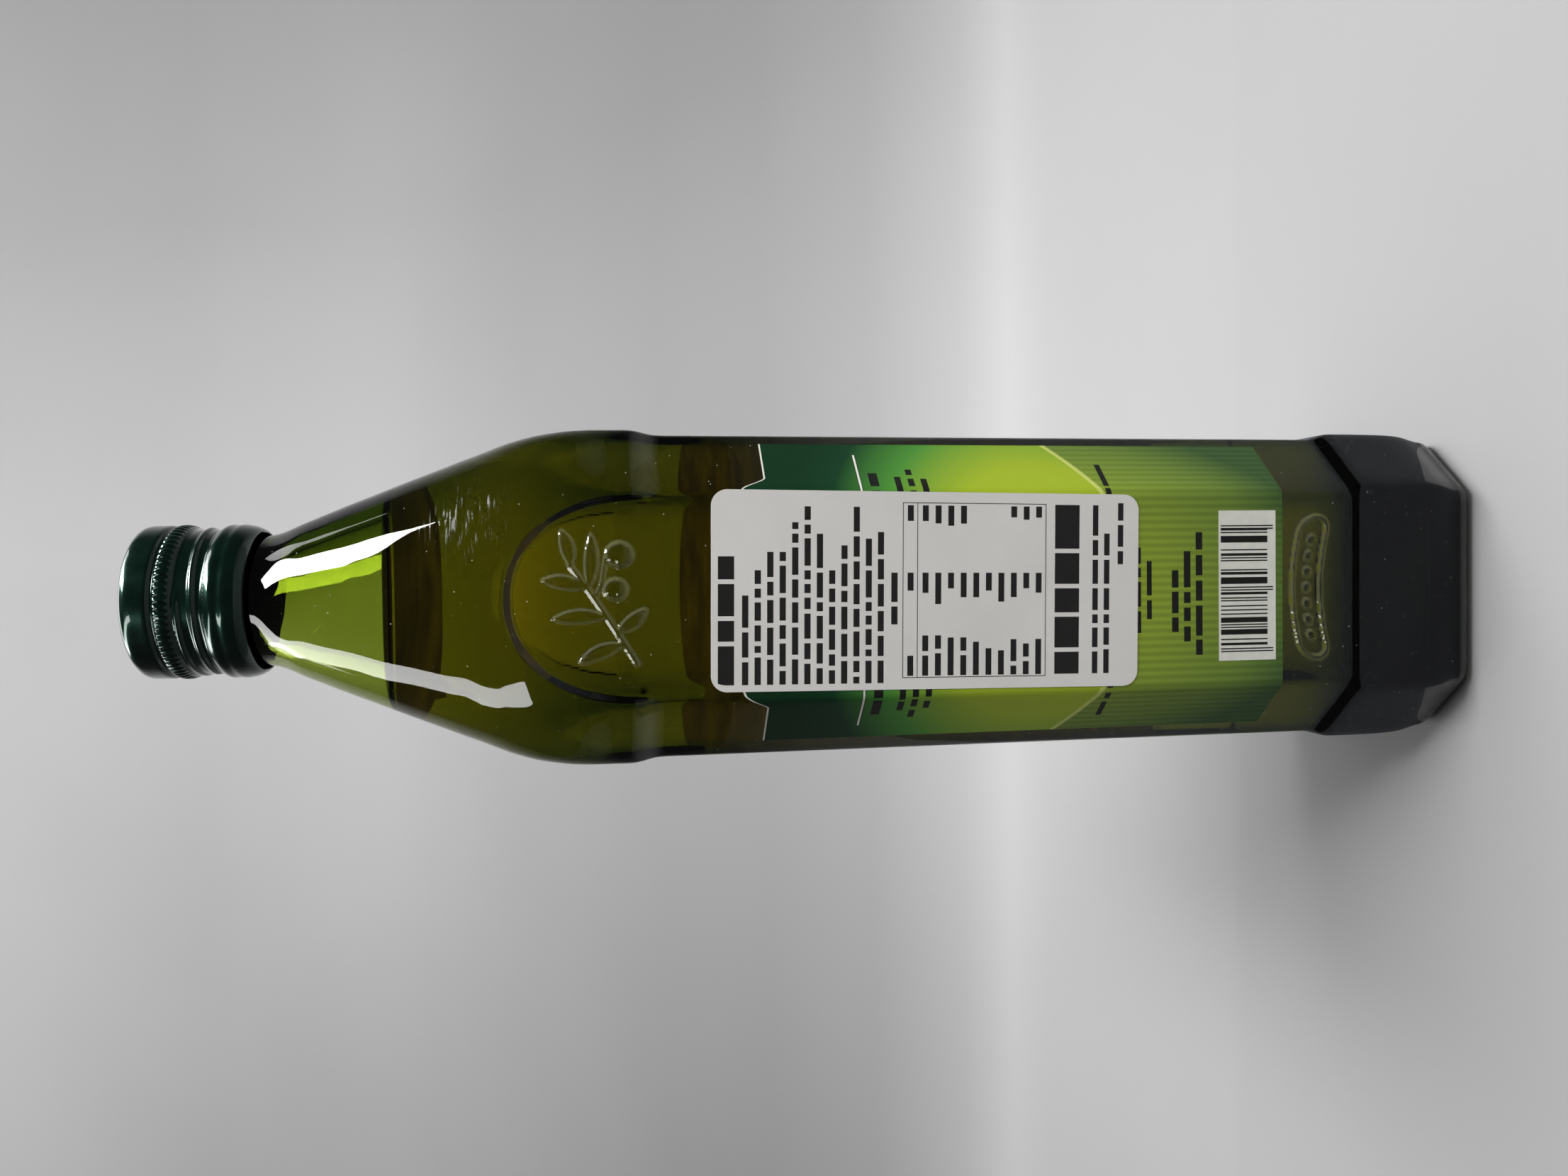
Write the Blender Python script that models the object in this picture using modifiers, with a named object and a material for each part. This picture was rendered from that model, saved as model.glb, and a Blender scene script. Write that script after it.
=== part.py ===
"""A square glass bottle of olive oil with a screw cap, three paper labels and a sticker.

The bottle stands on the floor at z = 0 with +Z up. Its shown face, with the back label and
the sticker, looks towards -Y. All sizes are real ones in metres, from the lengths in
millimetres at the top of the file.
"""

import math

import bmesh
import bpy
import numpy as np

MM = 0.001

# Glass, outer form. A station is height, half width, half width of the flat face, corner power.
# The power rounds the folds between the flats and the chamfers: a high power is a sharp fold.
PANEL_HALF = 33.2 * MM
PANEL_FACE = 20.5 * MM
PANEL_POWER = 120.0
BULGE_HALF = 34.35 * MM
BULGE_FACE = 21.3 * MM
FOOT_HALF = 34.3 * MM
FOOT_FACE = 22.0 * MM
STANDING_OUTER = 29.6 * MM
STANDING_INNER = 26.0 * MM
PUNT_RISE = 4.0 * MM
NECK_RADIUS = 13.9 * MM
FINISH_RADIUS = 13.5 * MM
MOUTH_RADIUS = 10.6 * MM
MOUTH_Z = 281.6 * MM
WALL = 2.9 * MM
BASE_GLASS = 5.0 * MM

# The shoulder as the eye sees it from the side: height and half width, in millimetres.
SHOULDER = (
    (185.5, 34.35), (191.0, 34.35), (197.0, 34.15), (202.5, 33.65), (206.0, 33.0),
    (209.5, 32.05), (214.5, 30.3), (223.7, 27.0), (233.0, 23.6), (242.3, 20.15),
    (248.5, 17.7), (252.5, 16.1), (256.0, 14.65), (258.6, 13.95),
)
ROUND_START, ROUND_END = 186.0 * MM, 221.0 * MM
WIDEN_END = 206.0 * MM
SHOULDER_FACE = 0.74
# Power of the rounded square over the shoulder, and how it falls to 2, a circle, at the neck.
SHOULDER_POWER = 3.6
SHOULDER_FALL = (213.0 * MM, 256.0 * MM, 1.1)
NECK_FALL = (250.0 * MM, 260.0 * MM, 0.5)

# Arch pressed into the shoulder over the front and the back panel.
ARCH_DEPTH = 1.13 * MM
ARCH_BASE_Z = 183.0 * MM
ARCH_HALF_IN = 18.7 * MM
ARCH_HALF_OUT = 20.2 * MM
ARCH_RISE_IN = 23.5 * MM
ARCH_RISE_OUT = 26.0 * MM
ARCH_POWER = 2.12
ARCH_LOW_Z = 174.0 * MM

# Twig and plain banner raised on the shown face. Places are x and z in millimetres. A leaf is
# the x and z of its foot, its lean from upright in degrees and its length.
SPRIG_RAISE = 0.6 * MM
STEM_RADIUS = 0.45 * MM
STEM = ((-12.5, 183.4), (-10.2, 184.8), (-7.0, 186.8), (-3.9, 188.7), (-0.8, 190.7), (2.2, 192.7),
        (4.6, 194.4), (6.6, 195.9))
STALK = ((0.2, 191.2), (2.6, 190.0), (5.2, 189.5), (7.8, 189.1))
LEAVES = ((-8.7, 185.8, -22.0, 9.4), (-3.4, 189.1, -2.0, 10.4), (2.3, 192.8, 10.0, 8.6),
          (-6.4, 187.2, 142.0, 7.4), (2.0, 192.4, 93.0, 10.8), (6.4, 195.7, 76.0, 7.4))
LEAF_HALF = 1.35 * MM
OLIVES = ((1.9, 187.3, 2.3), (8.6, 186.5, 2.6))
BANNER_Z = 40.4 * MM
BANNER_BOW = 2.4 * MM
BANNER_HALF = 15.0 * MM
BANNER_RISE = 3.2 * MM
BANNER_WIRE = 0.55 * MM
BANNER_BEADS = 7

# Oil
OIL_LEVEL = 229.6 * MM
CLEAR = 0.3 * MM

# Cap: an aluminium shell over the neck, with a knurled bead, a rolled thread and a sealing band.
CAP_TOP_Z = 283.8 * MM
CAP_LOW_Z = 260.6 * MM
CAP_RADIUS = 16.05 * MM
CAP_BORE = 14.5 * MM
CAP_ROOF = 1.4 * MM
CAP_STEPS = 60
KNURLS = 72
KNURL_LOW_Z, KNURL_HIGH_Z = 274.3 * MM, 277.1 * MM
KNURL_OUTER, KNURL_INNER = 16.3 * MM, 15.85 * MM
THREAD_BASE = 15.2 * MM
THREAD_RAISE = 0.5 * MM
THREAD_PITCH = 3.0 * MM
THREAD_START_Z = 269.4 * MM
THREAD_TURNS = 1.3
THREAD_HALF = 1.0 * MM

# Labels and sticker
PAPER = 0.2 * MM
BACK_LEFT, BACK_RIGHT = -33.4 * MM, 35.2 * MM
BACK_LOW_Z, BACK_SIDE_Z, BACK_ARCH_Z = 47.1 * MM, 157.9 * MM, 165.0 * MM
FRONT_HALF = 34.3 * MM
FRONT_LOW_Z, FRONT_SIDE_Z, FRONT_ARCH_Z = 52.0 * MM, 167.0 * MM, 172.5 * MM
ARCH_SHOULDER = 23.0 * MM
BROW_TOP_Z = 240.0 * MM
BROW_LOW_Z, BROW_FOOT_Z = 219.5 * MM, 209.5 * MM
BROW_STEP = (13.4 * MM, 15.6 * MM)
BROW_TURN = 76.0
BROW_TURNS = (0.0, 6.0, 12.0, 17.5, 23.0, 24.8, 26.6, 29.5, 33.5, 39.0, 45.0, 51.0, 56.5, 60.5, 67.0, 72.0, 76.0)
BROW_ROWS = 7
STICKER_WIDTH, STICKER_HEIGHT = 39.7 * MM, 88.9 * MM
STICKER_CORNER = 3.2 * MM
STICKER_X, STICKER_Z = 0.65 * MM, 124.5 * MM
STICKER_TURN = math.radians(0.84)
STICKER_GAP = 0.8 * MM

QUADRANT = (0.0, 12.0, 23.0, 29.5, 33.5, 45.0, 56.5, 60.5, 67.0, 78.0)
AROUND = np.radians([a + 90.0 * q for q in range(4) for a in QUADRANT])


def clear_scene():
    for old in list(bpy.data.objects):
        bpy.data.objects.remove(old)


def new_collection(name):
    group = bpy.data.collections.new(name)
    bpy.context.scene.collection.children.link(group)
    return group


def make_material(name, color, roughness, metallic=0.0):
    material = bpy.data.materials.new(name)
    material.use_nodes = True
    shader = material.node_tree.nodes["Principled BSDF"]
    shader.inputs["Base Color"].default_value = (*color, 1.0)
    shader.inputs["Roughness"].default_value = roughness
    shader.inputs["Metallic"].default_value = metallic
    return material


def add_object(name, mesh, group, material=None):
    piece = bpy.data.objects.new(name, mesh)
    group.objects.link(piece)
    if material:
        mesh.materials.append(material)
    return piece


def section_radius(angles, half, face, power, round_share=0.0, round_power=2.0):
    """Distance from the axis to a chamfered square, blended towards a rounded square."""
    c, s = np.abs(np.cos(angles)), np.abs(np.sin(angles))
    flats = (c / half) ** power + (s / half) ** power + ((c + s) / (half + face)) ** power
    chamfered = flats ** (-1.0 / power)
    rounded = ((c / half) ** round_power + (s / half) ** round_power) ** (-1.0 / round_power)
    return chamfered * (1.0 - round_share) + rounded * round_share


def smooth(value, low, high):
    t = min(1.0, max(0.0, (value - low) / (high - low)))
    return t * t * (3.0 - 2.0 * t)


def outer_station(z, half):
    """Section of the outer glass at one height of the shoulder or the neck."""
    low_face = BULGE_FACE / BULGE_HALF
    face = half * (low_face + (SHOULDER_FACE - low_face) * smooth(z, ROUND_START, WIDEN_END))
    share = smooth(z, ROUND_START, ROUND_END)
    power = SHOULDER_POWER
    for start, end, fall in (SHOULDER_FALL, NECK_FALL):
        power -= fall * smooth(z, start, end)
    return z, half, face, 50.0, share, power


def inset(station, depth):
    """The same section with its surface moved inwards by a depth."""
    z, half, face, power, share, round_power = station
    return z, half - depth, face - depth * math.tan(math.radians(22.5)), power, share, round_power


def outer_stations():
    """Stations from the heel up to the mouth."""
    lower = [
        (0.0, STANDING_INNER, 14.0 * MM, 12.0),
        (0.0, STANDING_OUTER, 17.0 * MM, 16.0),
        (1.3 * MM, 31.6 * MM, 19.3 * MM, 30.0),
        (4.9 * MM, 32.9 * MM, 21.0 * MM, 90.0),
        (9.5 * MM, 33.85 * MM, 21.7 * MM, PANEL_POWER),
        (15.0 * MM, FOOT_HALF, FOOT_FACE, PANEL_POWER),
        (27.8 * MM, FOOT_HALF, FOOT_FACE, PANEL_POWER),
        (29.6 * MM, 33.95 * MM, 21.5 * MM, PANEL_POWER),
        (31.8 * MM, PANEL_HALF, PANEL_FACE, PANEL_POWER),
        (178.2 * MM, PANEL_HALF, PANEL_FACE, PANEL_POWER),
        (180.2 * MM, 33.5 * MM, 20.7 * MM, PANEL_POWER),
        (182.4 * MM, 34.1 * MM, 21.1 * MM, 90.0),
    ]
    stations = [(z, h, f, p, 0.0, 2.0) for z, h, f, p in lower]
    stations += [outer_station(z * MM, half * MM) for z, half in SHOULDER]
    for z, radius in ((262.0 * MM, FINISH_RADIUS), (MOUTH_Z - 0.8 * MM, FINISH_RADIUS),
                      (MOUTH_Z, FINISH_RADIUS - 0.8 * MM)):
        stations.append((z, radius, radius, 60.0, 1.0, 2.0))
    return stations


def inner_stations(extra=0.0):
    """Stations of the hollow from its floor up to the mouth, moved inwards by extra."""
    floor_z = PUNT_RISE + BASE_GLASS
    lower = [
        (floor_z - 0.5 * MM, 17.0 * MM, 10.0 * MM, 6.0),
        (floor_z - 1.2 * MM, 24.0 * MM, 14.0 * MM, 12.0),
        (floor_z + 0.8 * MM, 28.6 * MM, 17.6 * MM, 30.0),
        (floor_z + 5.5 * MM, 30.6 * MM, 19.3 * MM, 60.0),
    ]
    stations = [(z + extra, h - extra, f - extra, p, 0.0, 2.0) for z, h, f, p in lower]
    panel = (0.0, PANEL_HALF, PANEL_FACE, PANEL_POWER, 0.0, 2.0)
    for z in (30.0 * MM, 184.0 * MM):
        stations.append(inset((z, *panel[1:]), WALL + extra))
    for z in (189.0 * MM, 193.0 * MM, 197.0 * MM):
        stations.append(inset(outer_station(z, PANEL_HALF), WALL + extra))
    for z, half in SHOULDER[3:-1]:
        stations.append(inset(outer_station(z * MM, half * MM), WALL + extra))
    return stations


def rings_from(stations):
    rings = []
    for z, half, face, power, share, round_power in stations:
        radius = section_radius(AROUND, half, face, power, share, round_power)
        ring = np.stack([radius * np.cos(AROUND), radius * np.sin(AROUND), np.full_like(AROUND, z)], 1)
        rings.append(ring)
    return rings


def loft(name, rings, start_z, end_z):
    """A closed skin over rings of points, with a fan to a point on the axis at each end."""
    count = len(AROUND)
    points = np.concatenate([[(0.0, 0.0, start_z)], *rings, [(0.0, 0.0, end_z)]])
    faces = [(0, 1 + (i + 1) % count, 1 + i) for i in range(count)]
    for row in range(len(rings) - 1):
        low = 1 + row * count
        for i in range(count):
            j = (i + 1) % count
            faces.append((low + i, low + j, low + count + j, low + count + i))
    last = 1 + (len(rings) - 1) * count
    tip = len(points) - 1
    faces += [(last + i, last + (i + 1) % count, tip) for i in range(count)]
    mesh = bpy.data.meshes.new(name)
    mesh.from_pydata(points.tolist(), [], faces)
    mesh.update()
    return mesh


def turn_round(piece):
    """Shade a round piece smooth, with its sharp edges kept."""
    piece.data.shade_smooth()
    piece.data.set_sharp_from_angle(angle=math.radians(35.0))


def guide(piece):
    piece.hide_render = True
    piece.display_type = "WIRE"


def surface_half(z):
    """Half width of the glass over the arch at a height."""
    heights = [a * MM for a, _ in SHOULDER]
    halves = [b * MM for _, b in SHOULDER]
    return float(np.interp(z, heights, halves))


def arch_edge(half, rise, depth, count=20):
    """Points of the arch's outline at a depth under the surface, with its two low corners."""
    turns = [math.pi * i / count for i in range(count + 1)]
    outline = [(half, ARCH_LOW_Z)]
    for a in turns:
        c, s = math.cos(a), math.sin(a)
        x = math.copysign(abs(c) ** (2.0 / ARCH_POWER), c) * half
        outline.append((x, ARCH_BASE_Z + abs(s) ** (2.0 / ARCH_POWER) * rise))
    outline.append((-half, ARCH_LOW_Z))
    return np.array([(x, surface_half(max(z, ARCH_BASE_Z)) - depth, z) for x, z in outline])


def arch_block(side):
    """A block over the face at side * Y whose sloped wall runs through both arch outlines."""
    outer = arch_edge(ARCH_HALF_OUT, ARCH_RISE_OUT, 0.0)
    inner = arch_edge(ARCH_HALF_IN, ARCH_RISE_IN, ARCH_DEPTH)
    slope = outer - inner
    slope[[0, -1], 2] = 0.0
    points = np.concatenate([outer + 3.0 * slope, inner - 2.0 * slope])
    points[:, 1] *= side
    count = len(outer)
    faces = [tuple(range(count)), tuple(range(2 * count - 1, count - 1, -1))]
    faces += [(i, count + i, count + (i + 1) % count, (i + 1) % count) for i in range(count)]
    mesh = bpy.data.meshes.new("arch_block")
    mesh.from_pydata(points.tolist(), [], faces)
    bm = bmesh.new()
    bm.from_mesh(mesh)
    bmesh.ops.recalc_face_normals(bm, faces=bm.faces)
    bm.to_mesh(mesh)
    bm.free()
    return mesh


def add_arch_cutter(cutters):
    """The two arch blocks less the glass that stays below the pressed floor."""
    stations = [s for s in outer_stations() if 170.0 * MM < s[0] < 225.0 * MM]
    stations[0] = (172.0 * MM, *stations[0][1:])
    floor = []
    for station in stations:
        z, half, face, power, share, round_power = inset(station, ARCH_DEPTH)
        low_half = PANEL_HALF + 0.02 * MM
        floor.append((z, max(half, low_half) if z < 186.0 * MM else half, face + 1.0 * MM,
                      power, share, round_power))
    body = add_object("arch_floor", loft("arch_floor", rings_from(floor), floor[0][0], floor[-1][0]),
                      cutters)
    guide(body)
    blocks = []
    for side in (-1.0, 1.0):
        block = add_object("arch_cut", arch_block(side), cutters)
        cut = block.modifiers.new("floor", "BOOLEAN")
        cut.operation = "DIFFERENCE"
        cut.object = body
        guide(block)
        blocks.append(block)
    return blocks


def face_y(z):
    """Place of the pressed floor on the shown face at a height."""
    return ARCH_DEPTH - surface_half(z)


def add_pebble(name, x, z, y, long, wide, turn, group, taper=0.0):
    """A flattened ball, pressed half into the glass: a leaf, an olive or a bead."""
    mesh = bpy.data.meshes.new(name)
    bm = bmesh.new()
    bmesh.ops.create_uvsphere(bm, u_segments=10, v_segments=8, radius=1.0)
    bm.to_mesh(mesh)
    bm.free()
    c, s = math.cos(turn), math.sin(turn)
    for vertex in mesh.vertices:
        a, b, d = vertex.co
        u, w = d * long, a * wide * (1.0 - taper * abs(d))
        vertex.co = (x + c * w + s * u, y + b * SPRIG_RAISE, z - s * w + c * u)
    return add_object(name, mesh, group)


def add_wire(name, points, radius, group, closed=False):
    """A round wire along points, made a mesh so that it can be joined."""
    curve = bpy.data.curves.new(name, "CURVE")
    curve.dimensions = "3D"
    curve.bevel_depth = radius
    curve.bevel_resolution = 1
    curve.use_fill_caps = not closed
    spline = curve.splines.new("POLY")
    spline.points.add(len(points) - 1)
    for point, place in zip(spline.points, points):
        point.co = (*place, 1.0)
    spline.use_cyclic_u = closed
    holder = bpy.data.objects.new(name, curve)
    group.objects.link(holder)
    bpy.context.view_layer.update()
    mesh = bpy.data.meshes.new_from_object(holder.evaluated_get(bpy.context.evaluated_depsgraph_get()))
    bpy.data.objects.remove(holder)
    bm = bmesh.new()
    bm.from_mesh(mesh)
    bmesh.ops.remove_doubles(bm, verts=bm.verts, dist=1e-6)
    bmesh.ops.recalc_face_normals(bm, faces=bm.faces)
    bm.to_mesh(mesh)
    bm.free()
    return add_object(name, mesh, group)


def add_sprig(group):
    """A plain twig with leaves on both sides and two olives, raised on the pressed arch."""
    for name, line in (("stem", STEM), ("stalk", STALK)):
        points = [(x * MM, face_y(z * MM) - 0.1 * MM, z * MM) for x, z in line]
        add_wire(name, points, STEM_RADIUS, group)
    for i, (foot_x, foot_z, lean, length) in enumerate(LEAVES):
        turn, half = math.radians(lean), length * MM / 2.0
        x = foot_x * MM + math.sin(turn) * half
        z = foot_z * MM + math.cos(turn) * half
        add_pebble(f"leaf_{i}", x, z, face_y(z), half, LEAF_HALF, turn, group, taper=0.35)
    for i, (x, z, radius) in enumerate(OLIVES):
        add_pebble(f"olive_{i}", x * MM, z * MM, face_y(z * MM), radius * 1.1 * MM, radius * MM,
                   math.radians(20.0), group)


def add_banner(group):
    """A raised banner outline that bows upwards in the middle, with a row of beads along it."""
    straight = BANNER_HALF - BANNER_RISE
    edge = [(x, BANNER_RISE) for x in np.linspace(straight, -straight, 9)]
    for i in range(1, 6):
        a = math.radians(90.0 + 30.0 * i)
        edge.append((-straight + BANNER_RISE * math.cos(a), BANNER_RISE * math.sin(a)))
    edge += [(-x, -up) for x, up in edge]

    def bowed(x):
        return BANNER_Z + BANNER_BOW * (0.5 - (x / BANNER_HALF) ** 2)

    points = [(x, -PANEL_HALF, bowed(x) + up) for x, up in edge]
    add_wire("banner", points, BANNER_WIRE, group, closed=True)
    for i in range(BANNER_BEADS):
        x = (i - (BANNER_BEADS - 1) / 2.0) * 3.4 * MM
        add_pebble(f"bead_{i}", x, bowed(x), -PANEL_HALF, 1.25 * MM, 1.25 * MM, 0.0, group)


def add_glass(group, cutters):
    outer = outer_stations()
    inner = inner_stations()
    mouth = [(MOUTH_Z, MOUTH_RADIUS + 0.6 * MM, MOUTH_RADIUS, 60.0, 1.0, 2.0),
             (MOUTH_Z - 0.6 * MM, MOUTH_RADIUS, MOUTH_RADIUS, 60.0, 1.0, 2.0),
             (262.0 * MM, MOUTH_RADIUS, MOUTH_RADIUS, 60.0, 1.0, 2.0)]
    punt = [(PUNT_RISE - 1.0 * MM, 15.0 * MM, 9.0 * MM, 6.0, 0.0, 2.0)]
    path = punt + outer + mouth + inner[::-1]
    mesh = loft("glass_bottle", rings_from(path), PUNT_RISE, PUNT_RISE + BASE_GLASS)
    glass = add_object("glass_bottle", mesh, group, make_material("green_glass", (0.16, 0.2, 0.02), 0.08))
    for block in add_arch_cutter(cutters):
        cut = glass.modifiers.new("arch", "BOOLEAN")
        cut.operation = "DIFFERENCE"
        cut.object = block
    relief = bpy.data.collections.new("relief")
    cutters.children.link(relief)
    add_sprig(relief)
    add_banner(relief)
    for piece in relief.objects:
        guide(piece)
    join = glass.modifiers.new("relief", "BOOLEAN")
    join.operation = "UNION"
    join.operand_type = "COLLECTION"
    join.collection = relief
    return glass


def add_oil(group):
    """The oil, up to its level, clear of the glass by a hair."""
    stations = [s for s in inner_stations(CLEAR) if s[0] < OIL_LEVEL]
    stations.append(inset(outer_station(OIL_LEVEL, surface_half(OIL_LEVEL)), WALL + CLEAR))
    floor_z = PUNT_RISE + BASE_GLASS + CLEAR
    mesh = loft("oil", rings_from(stations), floor_z, OIL_LEVEL)
    return add_object("oil", mesh, group, make_material("olive_oil", (0.33, 0.3, 0.01), 0.05))


def cap_profile():
    """Radius and height down the outside of the cap and up its bore, from axis to axis."""
    top, low, r = CAP_TOP_Z, CAP_LOW_Z, CAP_RADIUS
    return [
        (0.0, top), (14.3 * MM, top), (15.5 * MM, top - 0.45 * MM), (r, top - 1.7 * MM),
        (r, 278.6 * MM), (15.45 * MM, 277.9 * MM), (15.45 * MM, 277.1 * MM),
        (15.75 * MM, 276.7 * MM), (15.75 * MM, 274.6 * MM), (THREAD_BASE, 273.7 * MM),
        (THREAD_BASE, 272.9 * MM), (THREAD_BASE, 272.1 * MM), (THREAD_BASE, 271.3 * MM),
        (THREAD_BASE, 270.5 * MM), (THREAD_BASE, 269.7 * MM), (THREAD_BASE, 269.0 * MM),
        (THREAD_BASE, 268.4 * MM),
        (16.0 * MM, 267.5 * MM), (16.2 * MM, 266.5 * MM), (16.0 * MM, 265.4 * MM),
        (16.25 * MM, 264.3 * MM), (16.1 * MM, 262.6 * MM), (15.6 * MM, low + 0.3 * MM),
        (CAP_BORE + 0.2 * MM, low), (CAP_BORE, low + 0.4 * MM),
        (CAP_BORE, top - CAP_ROOF), (0.0, top - CAP_ROOF),
    ]


def roll_thread(mesh):
    """Push the wall of the cap out along one right-handed turn of thread."""
    for vertex in mesh.vertices:
        x, y, z = vertex.co
        radius = math.hypot(x, y)
        if abs(radius - THREAD_BASE) > 0.05 * MM:
            continue
        turn = (math.atan2(y, x) - math.pi) / (2.0 * math.pi) % 1.0
        for lap in (0.0, 1.0):
            crest = THREAD_START_Z + THREAD_PITCH * (turn + lap)
            away = abs(z - crest) / THREAD_HALF
            if away < 1.0 and turn + lap < THREAD_TURNS:
                push = THREAD_RAISE * math.cos(away * math.pi / 2.0) ** 2
                vertex.co.x = x * (radius + push) / radius
                vertex.co.y = y * (radius + push) / radius


def knurl_ring(name):
    """A low ring whose rim steps in and out, one tooth for each knurl."""
    mesh = bpy.data.meshes.new(name)
    bm = bmesh.new()
    bmesh.ops.create_cone(bm, cap_ends=True, segments=2 * KNURLS, radius1=KNURL_INNER,
                          radius2=KNURL_INNER, depth=KNURL_HIGH_Z - KNURL_LOW_Z)
    middle = (KNURL_LOW_Z + KNURL_HIGH_Z) / 2.0
    for vertex in bm.verts:
        tooth = round(math.atan2(vertex.co.y, vertex.co.x) / (math.pi / KNURLS))
        radius = KNURL_OUTER if tooth % 2 == 0 else KNURL_INNER
        scale = radius / math.hypot(vertex.co.x, vertex.co.y)
        vertex.co.x *= scale
        vertex.co.y *= scale
        vertex.co.z += middle
    bm.to_mesh(mesh)
    bm.free()
    return mesh


def add_cap(group, cutters):
    profile = cap_profile()
    mesh = bpy.data.meshes.new("cap")
    mesh.from_pydata([(r, 0.0, z) for r, z in profile], [(i, i + 1) for i in range(len(profile) - 1)], [])
    holder = add_object("cap_profile", mesh, group)
    screw = holder.modifiers.new("turn", "SCREW")
    screw.steps = screw.render_steps = CAP_STEPS
    screw.use_merge_vertices = True
    screw.merge_threshold = 0.00001
    bpy.context.view_layer.update()
    turned = bpy.data.meshes.new_from_object(holder.evaluated_get(bpy.context.evaluated_depsgraph_get()))
    bpy.data.objects.remove(holder)
    roll_thread(turned)
    turned.name = "cap"
    cap = add_object("cap", turned, group, make_material("green_aluminium", (0.01, 0.09, 0.06), 0.3, 0.7))
    ring = add_object("knurl_ring", knurl_ring("knurl_ring"), cutters)
    guide(ring)
    bore = bmesh.new()
    bmesh.ops.create_cone(bore, cap_ends=True, segments=CAP_STEPS, radius1=15.0 * MM, radius2=15.0 * MM,
                          depth=2.0 * (KNURL_HIGH_Z - KNURL_LOW_Z))
    for vertex in bore.verts:
        vertex.co.z += (KNURL_LOW_Z + KNURL_HIGH_Z) / 2.0
    bore_mesh = bpy.data.meshes.new("knurl_bore")
    bore.to_mesh(bore_mesh)
    bore.free()
    hole = add_object("knurl_bore", bore_mesh, cutters)
    guide(hole)
    opened = ring.modifiers.new("bore", "BOOLEAN")
    opened.operation = "DIFFERENCE"
    opened.object = hole
    join = cap.modifiers.new("knurls", "BOOLEAN")
    join.operation = "UNION"
    join.object = ring
    return cap


def wrap_line(offset):
    """Dense points round one panel face and its chamfers, with the length along them."""
    angles = np.radians(np.linspace(-90.0 - 62.0, -90.0 + 62.0, 497))
    face = PANEL_FACE + offset * math.tan(math.radians(22.5))
    radius = section_radius(angles, PANEL_HALF + offset, face, PANEL_POWER)
    line = np.stack([radius * np.cos(angles), radius * np.sin(angles)], 1)
    length = np.concatenate([[0.0], np.cumsum(np.linalg.norm(np.diff(line, axis=0), axis=1))])
    return line, length - length[len(length) // 2]


def label_top(along, side_z, arch_z):
    """Height of a label's top edge: level at the sides, with a low arch over the face."""
    reach = abs(along) / ARCH_SHOULDER
    if reach >= 1.0:
        return side_z
    step = 2.6 * MM * smooth(1.0 - reach, 0.0, 0.12)
    return side_z + step + (arch_z - side_z - 2.6 * MM) * math.sqrt(max(0.0, 1.0 - reach * reach))


def add_label(name, left, right, low_z, side_z, arch_z, turned, group, material):
    """A paper label round one face and its chamfers, as a sheet with a thickness."""
    line, length = wrap_line(CLEAR + PAPER / 2.0)
    centre = (left + right) / 2.0
    columns = sorted(set(
        [left, right, -PANEL_FACE - 1.2 * MM, -PANEL_FACE, PANEL_FACE, PANEL_FACE + 1.2 * MM]
        + [centre + ARCH_SHOULDER * t for t in (-1.0, -0.96, -0.9, -0.8, -0.6, -0.3, 0.0,
                                                0.3, 0.6, 0.8, 0.9, 0.96, 1.0)]))
    points = []
    for along in columns:
        x, y = (float(np.interp(along, length, line[:, k])) for k in (0, 1))
        if turned:
            x, y = -x, -y
        points.append((x, y, low_z))
        points.append((x, y, label_top(along - centre, side_z, arch_z)))
    faces = [(2 * i, 2 * i + 2, 2 * i + 3, 2 * i + 1) for i in range(len(columns) - 1)]
    mesh = bpy.data.meshes.new(name)
    mesh.from_pydata(points, [], faces)
    mesh.update()
    label = add_object(name, mesh, group, material)
    skin = label.modifiers.new("paper", "SOLIDIFY")
    skin.thickness = PAPER
    skin.offset = 0.0
    return label


def add_shoulder_label(group, material):
    """A paper label round the far shoulder, as a sheet with a thickness and an arched low edge."""
    turns = [-t for t in BROW_TURNS[:0:-1]] + list(BROW_TURNS)
    grid = []
    for turn in turns:
        x = 26.0 * MM * math.tan(math.radians(min(abs(turn), 44.0)))
        low = BROW_LOW_Z + (BROW_FOOT_Z - BROW_LOW_Z) * smooth(x, *BROW_STEP)
        top = low + (BROW_TOP_Z - low) * math.sqrt(max(1.0 - (abs(turn) / BROW_TURN) ** 3, 0.02))
        angle = np.radians([90.0 - turn])
        for z in np.linspace(low, top, BROW_ROWS):
            station = inset(outer_station(z, surface_half(z)), -CLEAR - PAPER / 2.0)
            radius = float(section_radius(angle, *station[1:])[0])
            grid.append((radius * math.cos(angle[0]), radius * math.sin(angle[0]), z))
    faces = [(BROW_ROWS * i + j, BROW_ROWS * (i + 1) + j, BROW_ROWS * (i + 1) + j + 1, BROW_ROWS * i + j + 1)
             for i in range(len(turns) - 1) for j in range(BROW_ROWS - 1)]
    mesh = bpy.data.meshes.new("shoulder_label")
    mesh.from_pydata(grid, [], faces)
    mesh.update()
    label = add_object("shoulder_label", mesh, group, material)
    skin = label.modifiers.new("paper", "SOLIDIFY")
    skin.thickness = PAPER
    skin.offset = 0.0
    return label


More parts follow.
